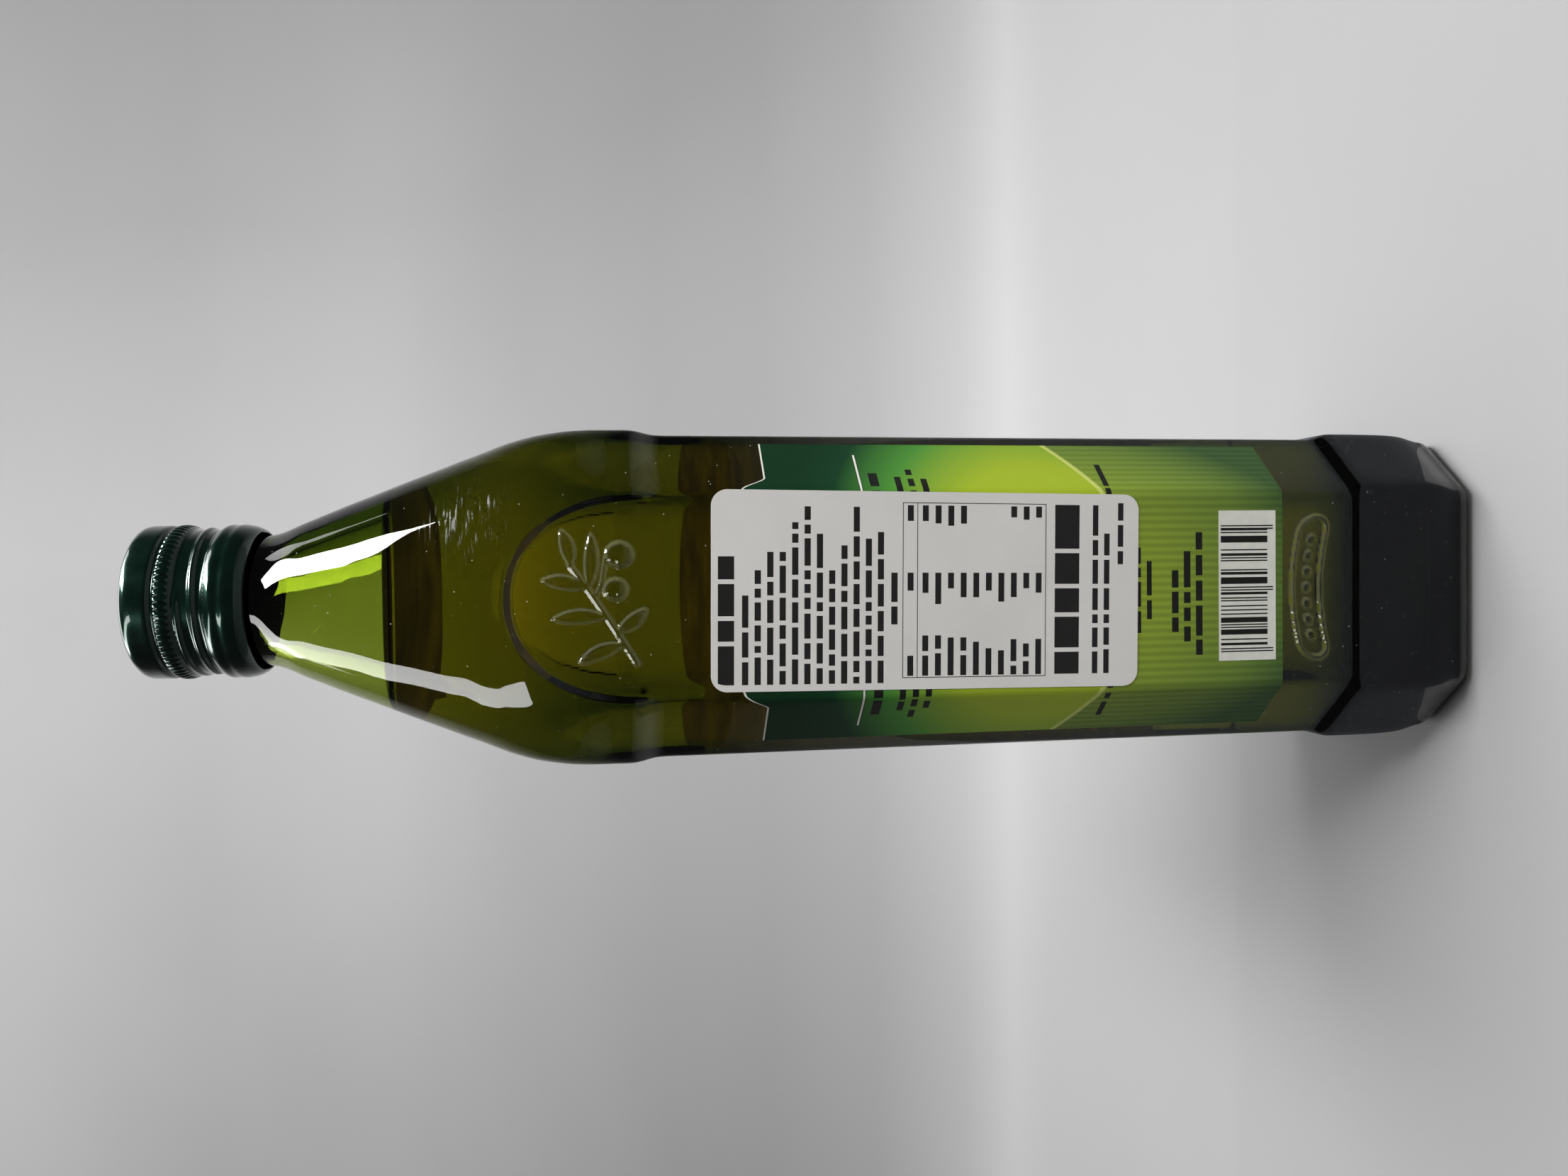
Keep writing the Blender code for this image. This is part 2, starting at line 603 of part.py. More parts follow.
def add_sticker(group):
    """A flat sticker with round corners over the back label, turned a little."""
    curve = bpy.data.curves.new("sticker", "CURVE")
    curve.dimensions = "2D"
    curve.fill_mode = "BOTH"
    curve.extrude = PAPER / 2.0
    half_w, half_h = STICKER_WIDTH / 2.0 - STICKER_CORNER, STICKER_HEIGHT / 2.0 - STICKER_CORNER
    corners = ((1.0, 1.0, 0.0), (-1.0, 1.0, 90.0), (-1.0, -1.0, 180.0), (1.0, -1.0, 270.0))
    points = []
    for sx, sy, start in corners:
        for i in range(5):
            a = math.radians(start + 22.5 * i)
            points.append((sx * half_w + STICKER_CORNER * math.cos(a),
                           sy * half_h + STICKER_CORNER * math.sin(a)))
    spline = curve.splines.new("POLY")
    spline.points.add(len(points) - 1)
    for point, (x, y) in zip(spline.points, points):
        point.co = (x, y, 0.0, 1.0)
    spline.use_cyclic_u = True
    sticker = bpy.data.objects.new("sticker", curve)
    group.objects.link(sticker)
    curve.materials.append(make_material("sticker_paper", (0.52, 0.5, 0.48), 0.6))
    sticker.location = (STICKER_X, -(PANEL_HALF + STICKER_GAP + PAPER / 2.0), STICKER_Z)
    sticker.rotation_euler = (math.pi / 2.0, STICKER_TURN, 0.0)
    return sticker


def build():
    clear_scene()
    group = new_collection("olive_oil_bottle")
    cutters = new_collection("cutters")
    turn_round(add_glass(group, cutters))
    turn_round(add_oil(group))
    turn_round(add_cap(group, cutters))
    add_label("back_label", BACK_LEFT, BACK_RIGHT, BACK_LOW_Z, BACK_SIDE_Z, BACK_ARCH_Z, False, group,
              make_material("back_print", (0.13, 0.3, 0.03), 0.5))
    add_label("front_label", -FRONT_HALF, FRONT_HALF, FRONT_LOW_Z, FRONT_SIDE_Z, FRONT_ARCH_Z, True,
              group, make_material("front_print", (0.02, 0.09, 0.03), 0.5))
    add_shoulder_label(group, make_material("shoulder_print", (0.02, 0.09, 0.03), 0.5))
    add_sticker(group)


build()
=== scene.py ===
"""The looks of a square green glass bottle of olive oil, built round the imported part.

The bottle stands on the floor at z = 0 with +Z up, and its shown face looks towards -Y.
Lengths inside the shape functions are millimetres, and meshes are stored in metres.
"""

import math

import bpy
import numpy as np
from bpy.props import FloatProperty, FloatVectorProperty, IntProperty, PointerProperty
from mathutils import Matrix, Vector


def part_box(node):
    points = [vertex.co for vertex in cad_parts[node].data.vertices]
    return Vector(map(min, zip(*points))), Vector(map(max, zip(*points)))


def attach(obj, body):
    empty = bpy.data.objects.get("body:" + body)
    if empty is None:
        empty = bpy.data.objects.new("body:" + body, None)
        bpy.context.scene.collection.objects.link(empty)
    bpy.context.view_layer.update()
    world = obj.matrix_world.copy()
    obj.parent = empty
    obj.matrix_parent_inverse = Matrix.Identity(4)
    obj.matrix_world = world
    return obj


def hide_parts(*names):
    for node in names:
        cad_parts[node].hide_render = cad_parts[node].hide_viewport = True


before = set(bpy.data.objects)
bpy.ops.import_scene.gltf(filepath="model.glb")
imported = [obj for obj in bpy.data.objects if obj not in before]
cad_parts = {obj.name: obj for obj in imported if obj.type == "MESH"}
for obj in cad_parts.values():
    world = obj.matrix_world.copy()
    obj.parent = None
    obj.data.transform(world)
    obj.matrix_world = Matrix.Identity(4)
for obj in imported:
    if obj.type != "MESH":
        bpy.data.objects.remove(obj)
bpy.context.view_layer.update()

bl_info = {
    "name": "Olive oil bottle",
    "version": (1, 0, 0),
    "blender": (4, 5, 0),
    "location": "View3D > Sidebar > Bottle",
    "description": "Builds a square glass bottle of olive oil with its cap, labels and sticker",
    "category": "Object",
}

MM = 0.001

# Outline of the glass from the heel to the mouth: height and half width.
OUTLINE = (
    (4.9, 32.85), (7.6, 33.35), (9.5, 33.78), (11.6, 34.02), (15.3, 34.2), (20.0, 34.28), (26.5, 34.3),
    (28.4, 34.2), (29.5, 33.93), (30.6, 33.52), (31.6, 33.27), (32.7, 33.2), (100.0, 33.2), (176.6, 33.2),
    (179.2, 33.28), (181.0, 33.6), (182.8, 34.05), (184.2, 34.28), (185.6, 34.35), (191.0, 34.35),
    (194.3, 34.27), (197.0, 34.15), (199.9, 33.9), (202.7, 33.6), (205.5, 33.1), (208.5, 32.38),
    (211.5, 31.4), (214.5, 30.3), (217.6, 29.24), (223.7, 27.0), (229.9, 24.76), (236.1, 22.44),
    (242.3, 20.15), (248.5, 17.7), (251.5, 16.5), (254.6, 15.2), (256.3, 14.55), (257.6, 14.15),
    (259.0, 13.92), (261.0, 13.6), (263.0, 13.5), (280.6, 13.5), (281.3, 13.2), (281.6, 12.6),
)
# Half width of the flat faces, and the power that sets how sharp the folds beside them are.
FLATS = ((4.9, 21.0), (9.5, 21.7), (15.0, 22.0), (27.8, 22.0), (29.6, 21.5), (31.8, 20.5), (178.0, 20.5),
         (180.2, 20.7), (182.4, 21.1), (185.6, 21.3), (206.0, 21.3), (281.6, 8.0))
FOLDS = ((4.9, 90.0), (9.5, 120.0), (178.0, 120.0), (185.0, 70.0), (194.0, 48.0), (203.0, 39.0),
         (281.6, 39.0))
PANEL_HALF, PANEL_FLAT, PANEL_FOLD = 33.2, 20.5, 120.0
# Share of the half width that is flat on the shoulder, and the power of its rounded square, which falls
# to that of a circle at the neck. A fall is its start, its end and how much.
SHOULDER_FLAT, SHOULDER_POWER = 0.74, 3.6
FALLS = ((213.0, 256.0, 1.1), (250.0, 260.0, 0.5))
# Heights over which the flats widen, and over which the section turns into the rounded square.
WIDENING, ROUNDING = (186.0, 206.0), (186.0, 221.0)
# Rise of the base, and of the hollow's floor: where the wall turns in, the turn's radius and the rise again.
BASE_RISE, BOWL_TOP, BOWL_CORNER, BOWL_RISE = 4.0, 15.8, 8.0, 1.2
BOWL_MIDDLE = BOWL_TOP - BOWL_CORNER + BOWL_RISE
# Sideways shift of the hollow, and the heights over which it comes and goes.
HOLLOW_SHIFT, SHIFT_COMES, SHIFT_GOES = 1.5, (205.0, 226.0), (262.0, 276.0)
# Steps round the glass: across the shown face, a side and the back, in a fold and beside it.
RING_STEPS = (142, 24, 60, 8, 5)
# The oil climbs the wall: how high over its level, and the length that sets how fast this dies away.
CLIMB, CAPILLARY = 2.6, 1.88

# Pressed arch: half width, rise over its base and the power of the curve, outside and inside.
ARCH_OUT, ARCH_IN, ARCH_POWER = (20.4, 26.1), (18.7, 23.7), 2.12
# Where the curves start, the depth of the press, its foot, and the height from which it has its full depth.
ARCH_BASE, ARCH_DEPTH, ARCH_FOOT, ARCH_FULL = 183.0, 1.4, 176.0, 187.0

# Twig: points of the stem, then leaves as foot, lean from upright and length, then olives.
STEM = ((-12.5, 183.4), (-10.2, 184.8), (-7.0, 186.8), (-3.9, 188.7), (-0.8, 190.7), (2.2, 192.7),
        (4.6, 194.4), (6.6, 195.9))
STALK = ((0.2, 191.2), (2.6, 190.0), (5.2, 189.5), (7.8, 189.1))
LEAVES = ((-8.7, 185.8, -22.0, 9.4), (-3.4, 189.1, -2.0, 10.4), (2.3, 192.8, 10.0, 8.6),
          (-6.4, 187.2, 142.0, 7.4), (2.0, 192.4, 93.0, 10.8), (6.4, 195.7, 76.0, 7.4))
OLIVES = ((1.9, 187.3, 2.3), (8.6, 186.5, 2.6))

# Plain banner low on the shown face: half length, half height, middle height and how far it bows.
BANNER_HALF, BANNER_RISE, BANNER_Z, BANNER_BOW = 15.0, 3.2, 40.4, 2.4
BEAD_PITCH, BEADS = 3.4, 7

# How far from the middle plane the shown face has relief.
RELIEF_HALF = 18.0

# Middle of the scuffed patch on the glass, and where its edge starts and ends to fade.
SCUFF_PLACE, SCUFF_FADE = (15.5, -26.5, 213.5), (5.0 * MM, 13.0 * MM)

# Width and height of the square of the UV map, with the middle of a label's wrap in its middle.
PRINT_SPAN = 200.0
# Labels: edges along the wrap, then low edge, top at the sides and top of the low arch.
BACK_LABEL = (-33.4, 35.2, 47.1, 157.9, 165.0)
FRONT_LABEL = (-34.3, 34.3, 52.0, 167.0, 172.5)
TOP_SHOULDER, TOP_STEP = 23.0, 2.6
# Label on the far shoulder: top, low edge in the middle and at the sides, where its step is, and its turn.
BROW_TOP, BROW_LOW, BROW_FOOT, BROW_STEP, BROW_TURN = 240.0, 219.5, 209.5, (13.4, 15.6), 76.0
# How far the outer and the inner face of a label stand from the wall, and those of the sticker.
LABEL_FACES, STICKER_FACES = (0.22, -0.03), (0.35, 0.19)
# White panel of the bar code, then the bars: half width, foot of the long and the short ones, top, modules.
BARCODE = (-15.2, 16.5, 48.7, 61.8)
BARS_HALF, BARS_FOOT, BARS_LOW, BARS_HIGH, MODULES = 13.4, 49.3, 50.6, 61.3, 95
# The white line along a label's top edge, a painted highlight.
TOP_HIGHLIGHT = 0.45

# Sticker over the back label: width and height, radius of its corners, middle, turn in degrees, and the
# width of the cells of its print.
STICKER, STICKER_CORNER = (39.7, 88.9), 3.2
STICKER_PLACE, STICKER_LEAN = (0.65, 124.5), 0.84
LATTICE = 0.45

# Cap from the middle of its top down its side, round its lip and up inside: radius and height.
CAP_SIDE = (
    (0.0, 283.8), (6.0, 283.8), (12.0, 283.8), (14.2, 283.78), (14.9, 283.6), (15.4, 283.3), (15.8, 282.8),
    (16.0, 282.1), (16.05, 281.2), (16.05, 278.7), (15.98, 278.3), (15.8, 278.0), (15.58, 277.8),
    (15.48, 277.55), (15.52, 277.3), (15.7, 277.1), (15.95, 276.9), (16.12, 276.6), (16.2, 276.1),
    (16.2, 275.6), (16.1, 275.0), (15.9, 274.5), (15.55, 274.05), (15.28, 273.7), (15.2, 273.3),
    (15.2, 268.7), (15.26, 268.45), (15.45, 268.15), (15.75, 267.75), (16.0, 267.3), (16.18, 266.9),
    (16.24, 266.5), (16.2, 266.0), (16.12, 265.5), (16.14, 265.1), (16.22, 264.7), (16.27, 264.3),
    (16.22, 263.8), (16.08, 263.1), (15.92, 262.4), (15.65, 261.7), (15.3, 261.15), (15.0, 260.8),
    (14.75, 260.65), (14.58, 260.8), (14.52, 261.3), (14.5, 262.5), (14.5, 281.6), (14.1, 282.2),
    (13.4, 282.4), (6.0, 282.4), (0.0, 282.4),
)
# Knurls on the bead and the thread: how many, how deep and where, then the thread's start, pitch, turns,
# half width and height.
KNURLS, KNURL_DEEP, KNURL_SPAN = 72, 0.32, (274.2, 277.2)
THREAD_START, THREAD_PITCH, THREAD_TURNS, THREAD_HALF, THREAD_RAISE = 269.4, 3.0, 1.3, 0.95, 0.45


def linear(code):
    """Linear colour of an sRGB hex value such as "8aa51f"."""
    parts = np.array([int(code[i:i + 2], 16) / 255.0 for i in (0, 2, 4)])
    return tuple(np.where(parts <= 0.04045, parts / 12.92, ((parts + 0.055) / 1.055) ** 2.4).tolist())


def colour(name, description, value):
    """A colour that a user can change."""
    return FloatVectorProperty(name=name, description=description, subtype="COLOR", size=3, min=0.0, max=1.0,
                               default=value)


def amount(name, description, value, **limits):
    """A number from 0 up that a user can change."""
    return FloatProperty(name=name, description=description, default=value, **{"min": 0.0, **limits})


class GlassSettings(bpy.types.PropertyGroup):
    """Sizes and colour of the blown glass."""
    wall: amount("Wall", "Thickness of the blown wall", 2.9 * MM, min=1.0 * MM, max=6.0 * MM, unit="LENGTH",
                 precision=4)
    tint: colour("Tint", "Share of each colour that the tint leaves", linear("cdd900"))
    density: amount("Density", "Strength of the tint for each metre of glass", 720.0)
    ripple: amount("Ripple", "Strength of the slow ripple left by the mould", 0.05, max=1.0, subtype="FACTOR")
    # rims sets the strength of the painted highlight on the rims of the relief.
    rims: amount("Rims", "Light that the rims of the twig and banner scatter", 0.2, max=1.0, subtype="FACTOR")


class OilSettings(bpy.types.PropertyGroup):
    """Level and colour of the oil."""
    level: amount("Level", "Height of the oil over the floor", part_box("oil")[1].z, min=0.05, max=0.26,
                  unit="LENGTH", precision=4)
    tint: colour("Tint", "Share of each colour that the tint leaves", linear("f8f400"))
    density: amount("Density", "Strength of the tint for each metre of oil", 200.0)


class CapSettings(bpy.types.PropertyGroup):
    """Finish of the screw cap."""
    lacquer: colour("Lacquer", "Colour of the lacquer on the metal", linear("052b20"))
    columns: IntProperty(name="Columns", description="Steps round the cap for each knurl", default=7,
                         min=4, max=10)


class PrintSettings(bpy.types.PropertyGroup):
    """Colours of the labels and the sticker."""
    deep: colour("Deep green", "Colour at the top of the labels", linear("0f3b20"))
    glow: colour("Glow", "Colour at the middle of the back label", linear("b4c42a"))
    field: colour("Striped field", "Colour under the curved line", linear("8ba133"))
    paper: colour("Sticker paper", "Colour of the sticker", linear("e6e4e0"))
    seed: IntProperty(name="Seed", description="Seed of the lengths of the printed bars", default=7, min=0)


class StudioSettings(bpy.types.PropertyGroup):
    """Floor, lights and lens."""
    sweep: colour("Sweep", "Colour of the floor and the backdrop", linear("a2a2a2"))
    key: amount("Key light", "Power of the strip light on the right", 8.5, unit="POWER")
    fill: amount("Fill light", "Power of the strip light on the left", 4.4, unit="POWER")
    front: amount("Front light", "Power of the soft light in front on the right", 1.8, unit="POWER")
    wash: amount("Backdrop light", "Power of the broad light over the backdrop", 11.5, unit="POWER")
    air: amount("Room light", "Strength of the even light from all round", 0.04)
    lens: amount("Lens", "Focal length", 24.09, min=10.0, max=200.0, unit="CAMERA")


def add(tree, kind, *values, out=0, to=None, stops=None, **settings):
    """Adds a node. Values go to its inputs in order, named inputs are given as in_Name, and the rest are
    the node's own settings. A value is a number, a colour or the output of another node. stops are the
    places and colours of a colour ramp, in order. to names the input of the shader, or of the material's
    output, that takes the node's output."""
    node = tree.nodes.new("ShaderNode" + kind)
    named = {key[3:].replace("_", " "): settings.pop(key) for key in list(settings) if key[:3] == "in_"}
    for key, value in settings.items():
        setattr(node, key, value)
    for key, value in list(enumerate(values)) + list(named.items()):
        socket = node.inputs[key]
        if isinstance(value, bpy.types.NodeSocket):
            tree.links.new(value, socket)
        elif hasattr(value, "__len__") and len(value) == 3 and len(socket.default_value) == 4:
            socket.default_value = (*value, 1.0)
        else:
            socket.default_value = value
    if stops:
        elements = node.color_ramp.elements
        for place, _ in stops[1:-1]:
            elements.new(place)
        for element, (place, shade) in zip(elements, stops):
            element.position = place
            element.color = (*shade, 1.0)
    if to:
        end = next(other for other in tree.nodes if to in other.inputs)
        tree.links.new(node.outputs[out], end.inputs[to])
    return node.outputs[out]


def new_material(name, **shader):
    """A material with one Principled shader, whose inputs are set by name."""
    material = bpy.data.materials.new(name)
    material.use_nodes = True
    tree = material.node_tree
    tree.nodes.clear()
    surface = add(tree, "BsdfPrincipled", **{"in_" + key: value for key, value in shader.items()})
    tree.links.new(surface, tree.nodes.new("ShaderNodeOutputMaterial").inputs["Surface"])
    return material, tree


def mottle(tree, even, low, high, **noise):
    """Makes an even colour uneven: noise on the piece's own place dims and lifts it from low to high. The
    scale of a noise is its grains to the metre, so 240 makes them 4 mm wide and 900 about 1 mm."""
    cloud = add(tree, "TexNoise", in_Vector=add(tree, "TexCoord", out="Object"), **noise)
    tone = add(tree, "MapRange", cloud, 0.3, 0.7, low, high)
    add(tree, "HueSaturation", in_Value=tone, in_Color=even, to="Base Color")
    return cloud


def smooth_curve(at, knots):
    """Height of a cubic curve through knots that never overshoots: the slope at each knot is the
    harmonic mean of the two chords' slopes, or level where they turn back."""
    x, y = np.array(knots, float).T
    chord = np.diff(y) / np.diff(x)
    same = chord[:-1] * chord[1:] > 0.0
    middle = np.where(same, 2.0 * chord[:-1] * chord[1:] / np.where(same, chord[:-1] + chord[1:], 1.0), 0.0)
    slope = np.concatenate([chord[:1], middle, chord[-1:]])
    at = np.clip(np.asarray(at, float), x[0], x[-1])
    i = np.clip(np.searchsorted(x, at, side="right") - 1, 0, len(x) - 2)
    width = x[i + 1] - x[i]
    t = (at - x[i]) / width
    return (y[i] * (1.0 + 2.0 * t) * (1.0 - t) ** 2 + y[i + 1] * (3.0 - 2.0 * t) * t ** 2
            + width * t * (1.0 - t) * (slope[i] * (1.0 - t) - slope[i + 1] * t))


def ease(value, low, high):
    """Smooth step from 0 at low to 1 at high."""
    t = np.clip((value - low) / (high - low), 0.0, 1.0)
    return t * t * (3.0 - 2.0 * t)


def spans(*parts):
    """One array from parts of (start, end, steps), each joined to the next."""
    rows = [np.linspace(a, b, n, endpoint=False) for a, b, n in parts]
    return np.concatenate(rows + [[parts[-1][1]]])


def section(angles, half, flat, power, share, round_power):
    """Radius of the bottle's section, one row for each height. It is the power mean of the four flats and
    the four chamfers, blended by share towards the rounded square |x|^n + |y|^n = half^n."""
    half, flat, power, share, round_power = (np.asarray(v, float)[:, None] for v in
                                             (half, flat, power, share, round_power))
    c, s = np.abs(np.cos(angles))[None, :], np.abs(np.sin(angles))[None, :]
    biggest = np.maximum(np.maximum(c, s) / half, (c + s) / (half + flat))
    mean = ((c / half / biggest) ** power + (s / half / biggest) ** power
            + ((c + s) / (half + flat) / biggest) ** power)
    chamfered = mean ** (-1.0 / power) / biggest
    rounded = ((c / half) ** round_power + (s / half) ** round_power) ** (-1.0 / round_power)
    return chamfered * (1.0 - share) + rounded * share


def ring_angles(front, side, back, fold, chamfer):
    """Angles round the bottle. Each face gets its own number of even steps across, and the folds are
    close together. They start at the middle of a chamfer and go round by way of the shown face."""
    edge, tight = 30.9, 33.1
    turns = []
    for normal, count in ((-90.0, front), (0.0, side), (90.0, back), (180.0, side)):
        across = np.degrees(np.arctan(np.linspace(-1.0, 1.0, count + 1) * math.tan(math.radians(edge))))
        turns += [normal + spans((-45.0, -tight, chamfer), (-tight, -edge, fold))[:-1],
                  normal + across[:-1],
                  normal + spans((edge, tight, fold), (tight, 45.0, chamfer))[:-1]]
    return np.radians(np.concatenate(turns))


def revolve(rows, angles):
    """Points of section rows on the angles, as an array of rows by angles by xyz. A row is height, half
    width, half width of the flat, fold power, share of the rounded square and its power."""
    radius = section(angles, *rows[1:])
    return np.stack([radius * np.cos(angles), radius * np.sin(angles),
                     np.broadcast_to(rows[0][:, None], radius.shape)], axis=2)


def stack_rows(*columns):
    """Section rows from their six columns, where one number serves all rows."""
    return np.stack(np.broadcast_arrays(*columns))


def wall_rows(z):
    """Section rows of the outer wall at heights z."""
    half = smooth_curve(z, OUTLINE)
    widen = ease(z, *WIDENING)
    flat = smooth_curve(z, FLATS) * (1.0 - widen) + SHOULDER_FLAT * half * widen
    round_power = SHOULDER_POWER - sum(fall * ease(z, start, end) for start, end, fall in FALLS)
    return stack_rows(z, half, flat, smooth_curve(z, FOLDS), ease(z, *ROUNDING), round_power)


def outside_rows():
    """Section rows of the outside: the hollow under the base, the standing ring, the heel as a quarter
    ellipse, the wall, and the lip over the mouth."""
    reach = np.array([3.0, 7.0, 11.0, 15.0, 18.5, 21.5, 24.0, 25.5])
    under = stack_rows(BASE_RISE * (1.0 - (reach / 26.3) ** 2), reach, reach * 0.58, 14.0,
                       1.0 - ease(reach, 8.0, 25.0), 2.0)
    ring = np.array([26.4, 27.2, 28.3, 29.2])
    stand = stack_rows([0.08, 0.0, 0.0, 0.02], ring, ring * 0.585, 16.0, 0.0, 2.0)
    turn = np.radians(np.linspace(82.0, 3.0, 10))
    heel = stack_rows(4.9 * (1.0 - np.sin(turn)), 29.45 + 3.4 * np.cos(turn), 18.0 + 3.0 * np.cos(turn),
                      18.0 + 72.0 * np.cos(turn), 0.0, 2.0)
    wall = wall_rows(spans((4.95, 16.0, 10), (16.0, 27.0, 4), (27.0, 33.2, 14), (33.2, 34.0, 1),
                           (34.0, 46.4, 38), (46.4, 172.0, 10), (172.0, 177.0, 5), (177.0, 183.0, 14),
                           (183.0, 200.0, 62), (200.0, 210.0, 26), (210.0, 258.0, 32), (258.0, 263.0, 5),
                           (263.0, 280.6, 3), (280.6, 281.6, 4)))
    lip = stack_rows([281.6, 281.45, 281.05], [11.9, 11.1, 10.68], 8.0, 40.0, 1.0, 2.0)
    return np.concatenate([under, stand, heel, wall, lip], axis=1)


def cavity_rows(wall, contact, spread=0.0):
    """Section rows of the hollow from under the lip to near the middle of its floor, moved outwards by
    spread. The straight wall turns into the floor by a quarter circle, and the floor rises again."""
    z = spans((279.5, 262.0, 3), (262.0, 250.0, 9), (250.0, contact, 14), (contact, 206.0, 20),
              (206.0, 182.0, 8), (182.0, 24.0, 14), (24.0, BOWL_TOP, 3))
    rows = wall_rows(np.minimum(z, 270.0))
    rows[0] = z
    rows[1] = np.minimum(rows[1] - wall, PANEL_HALF - wall) + spread
    # Inside a chamfered wall the flat is narrower by tan 22.5 degrees, or 0.414, of the wall.
    rows[2] = np.minimum(rows[2], PANEL_FLAT + 5.0 * ease(z, 188.0, 204.0)) - 0.414 * (wall - spread)
    rows[3] = 28.0
    turn = np.radians(np.linspace(12.0, 90.0, 8))
    corner, straight = BOWL_CORNER + spread, PANEL_HALF - wall + spread
    half = straight - corner * (1.0 - np.cos(turn))
    bowl = stack_rows(BOWL_TOP - corner * np.sin(turn), half, half * 0.637, 24.0, 0.0, 2.0)
    reach = np.array([20.0, 16.5, 12.5, 8.0, 3.5])
    floor = stack_rows(BOWL_TOP - corner + BOWL_RISE * (1.0 - (reach / 22.3) ** 2), reach, reach * 0.637,
                       20.0, 1.0 - ease(reach, 6.0, 22.0), 2.0)
    return np.concatenate([rows, bowl, floor], axis=1)


def off_centre(points):
    """Moves points of the hollow sideways over the shoulder, where the glass is thicker on the right."""
    z = points[..., 2]
    points[..., 0] -= HOLLOW_SHIFT * ease(z, *SHIFT_COMES) * (1.0 - ease(z, *SHIFT_GOES))
    return points


def arch_press(x, z):
    """Depth of the pressed arch: full inside its inner curve, none outside its outer one, and an eased
    slope between. Each curve is a half superellipse on two upright sides."""
    up = np.maximum(z - ARCH_BASE, 0.0)
    level = [((np.abs(x) / half) ** ARCH_POWER + (up / rise) ** ARCH_POWER) ** (1.0 / ARCH_POWER)
             for half, rise in (ARCH_OUT, ARCH_IN)]
    outside, inside = np.maximum(1.0 - level[0], 0.0), np.maximum(level[1] - 1.0, 0.0)
    t = np.where(outside <= 0.0, 0.0, outside / np.maximum(outside + inside, 1e-9))
    step = np.where(z < ARCH_FULL, np.maximum(smooth_curve(z, OUTLINE) - PANEL_HALF, 0.0), ARCH_DEPTH)
    return np.minimum(ARCH_DEPTH, step) * ease(t, 0.0, 1.0) * (z > ARCH_FOOT)


def line_distance(x, z, points):
    """Distance from each place to the nearest stretch of a line through points."""
    best = np.full(x.shape, 1e9)
    for (ax, az), (bx, bz) in zip(points[:-1], points[1:]):
        dx, dz = bx - ax, bz - az
        t = np.clip(((x - ax) * dx + (z - az) * dz) / (dx * dx + dz * dz), 0.0, 1.0)
        best = np.minimum(best, np.hypot(x - ax - t * dx, z - az - t * dz))
    return best


def dome(away):
    """Round height over 0 at the middle to nothing at 1."""
    return np.sqrt(np.maximum(1.0 - away ** 2, 0.0))


def twig_relief(x, z):
    """Height of the twig: a round stem, leaves with a groove along the middle, and domed olives."""
    height = np.maximum(0.45 * dome(line_distance(x, z, STEM) / 0.6),
                        0.35 * dome(line_distance(x, z, STALK) / 0.5))
    for foot_x, foot_z, lean, length in LEAVES:
        c, s, half = math.cos(math.radians(lean)), math.sin(math.radians(lean)), length / 2.0
        along = ((x - foot_x) * s + (z - foot_z) * c) / half - 1.0
        taper = np.maximum(1.0 - along ** 2, 0.0)
        across = ((x - foot_x) * c - (z - foot_z) * s - 0.35 * taper) / (1.45 * taper ** 0.8 + 1e-6)
        leaf = 0.5 * dome(across) - 0.2 * np.maximum(1.0 - np.abs(across) * 3.0, 0.0)
        height = np.maximum(height, np.where((taper > 0.0) & (np.abs(across) < 1.0), leaf, 0.0))
    for at_x, at_z, radius in OLIVES:
        height = np.maximum(height, 0.95 * dome(np.hypot(x - at_x, (z - at_z) / 1.1) / radius))
    return height


def banner_relief(x, z):
    """Height of the banner: a rounded frame bowed upwards in the middle, with a row of beads in it."""
    up = z - (BANNER_Z + BANNER_BOW * (0.5 - (x / BANNER_HALF) ** 2))
    reach = np.maximum(np.abs(x) - (BANNER_HALF - BANNER_RISE), 0.0)
    wire = 0.7 * dome((np.hypot(reach, up) - BANNER_RISE) / 0.62)
    nearest = np.clip(np.round(x / BEAD_PITCH), -(BEADS // 2), BEADS // 2) * BEAD_PITCH
    return np.maximum(wire, 0.7 * dome(np.hypot(x - nearest, up) / 1.25))


def pressed(x, z):
    """Height of everything pressed into the shown face."""
    return twig_relief(x, z) + banner_relief(x, z)


def grid_faces(rows, columns, first=0, closed=True):
    """Quads between neighbouring rows of points, all the way round if closed."""
    i, j = np.meshgrid(np.arange(rows - 1), np.arange(columns if closed else columns - 1), indexing="ij")
    k = (j + 1) % columns
    quads = np.stack([i * columns + j, i * columns + k, (i + 1) * columns + k, (i + 1) * columns + j], axis=2)
    return quads.reshape(-1, 4) + first


def fan_faces(ring, tip, start):
    """Triangles from a ring of points to one tip. At the start of a skin they face back along it."""
    after = np.roll(ring, -1)
    tips = np.full(len(ring), tip)
    return np.stack([tips, after, ring] if start else [ring, after, tips], axis=1)


def capped(low, grid, high):
    """Closes rings of points with a fan of triangles at each end, round a tip on the axis. The result is
    the points, then the faces of the start, the skin and the end."""
    count, n = grid.shape[:2]
    points = np.concatenate([[[0.0, 0.0, low]], grid.reshape(-1, 3), [[0.0, 0.0, high]]])
    end = fan_faces(1 + (count - 1) * n + np.arange(n), len(points) - 1, False)
    return points, [fan_faces(1 + np.arange(n), 0, True), grid_faces(count, n, 1), end]


def link(name, data):
    """Puts a mesh, a lamp or a camera into the scene."""
    thing = bpy.data.objects.new(name, data)
    bpy.context.scene.collection.objects.link(thing)
    return thing


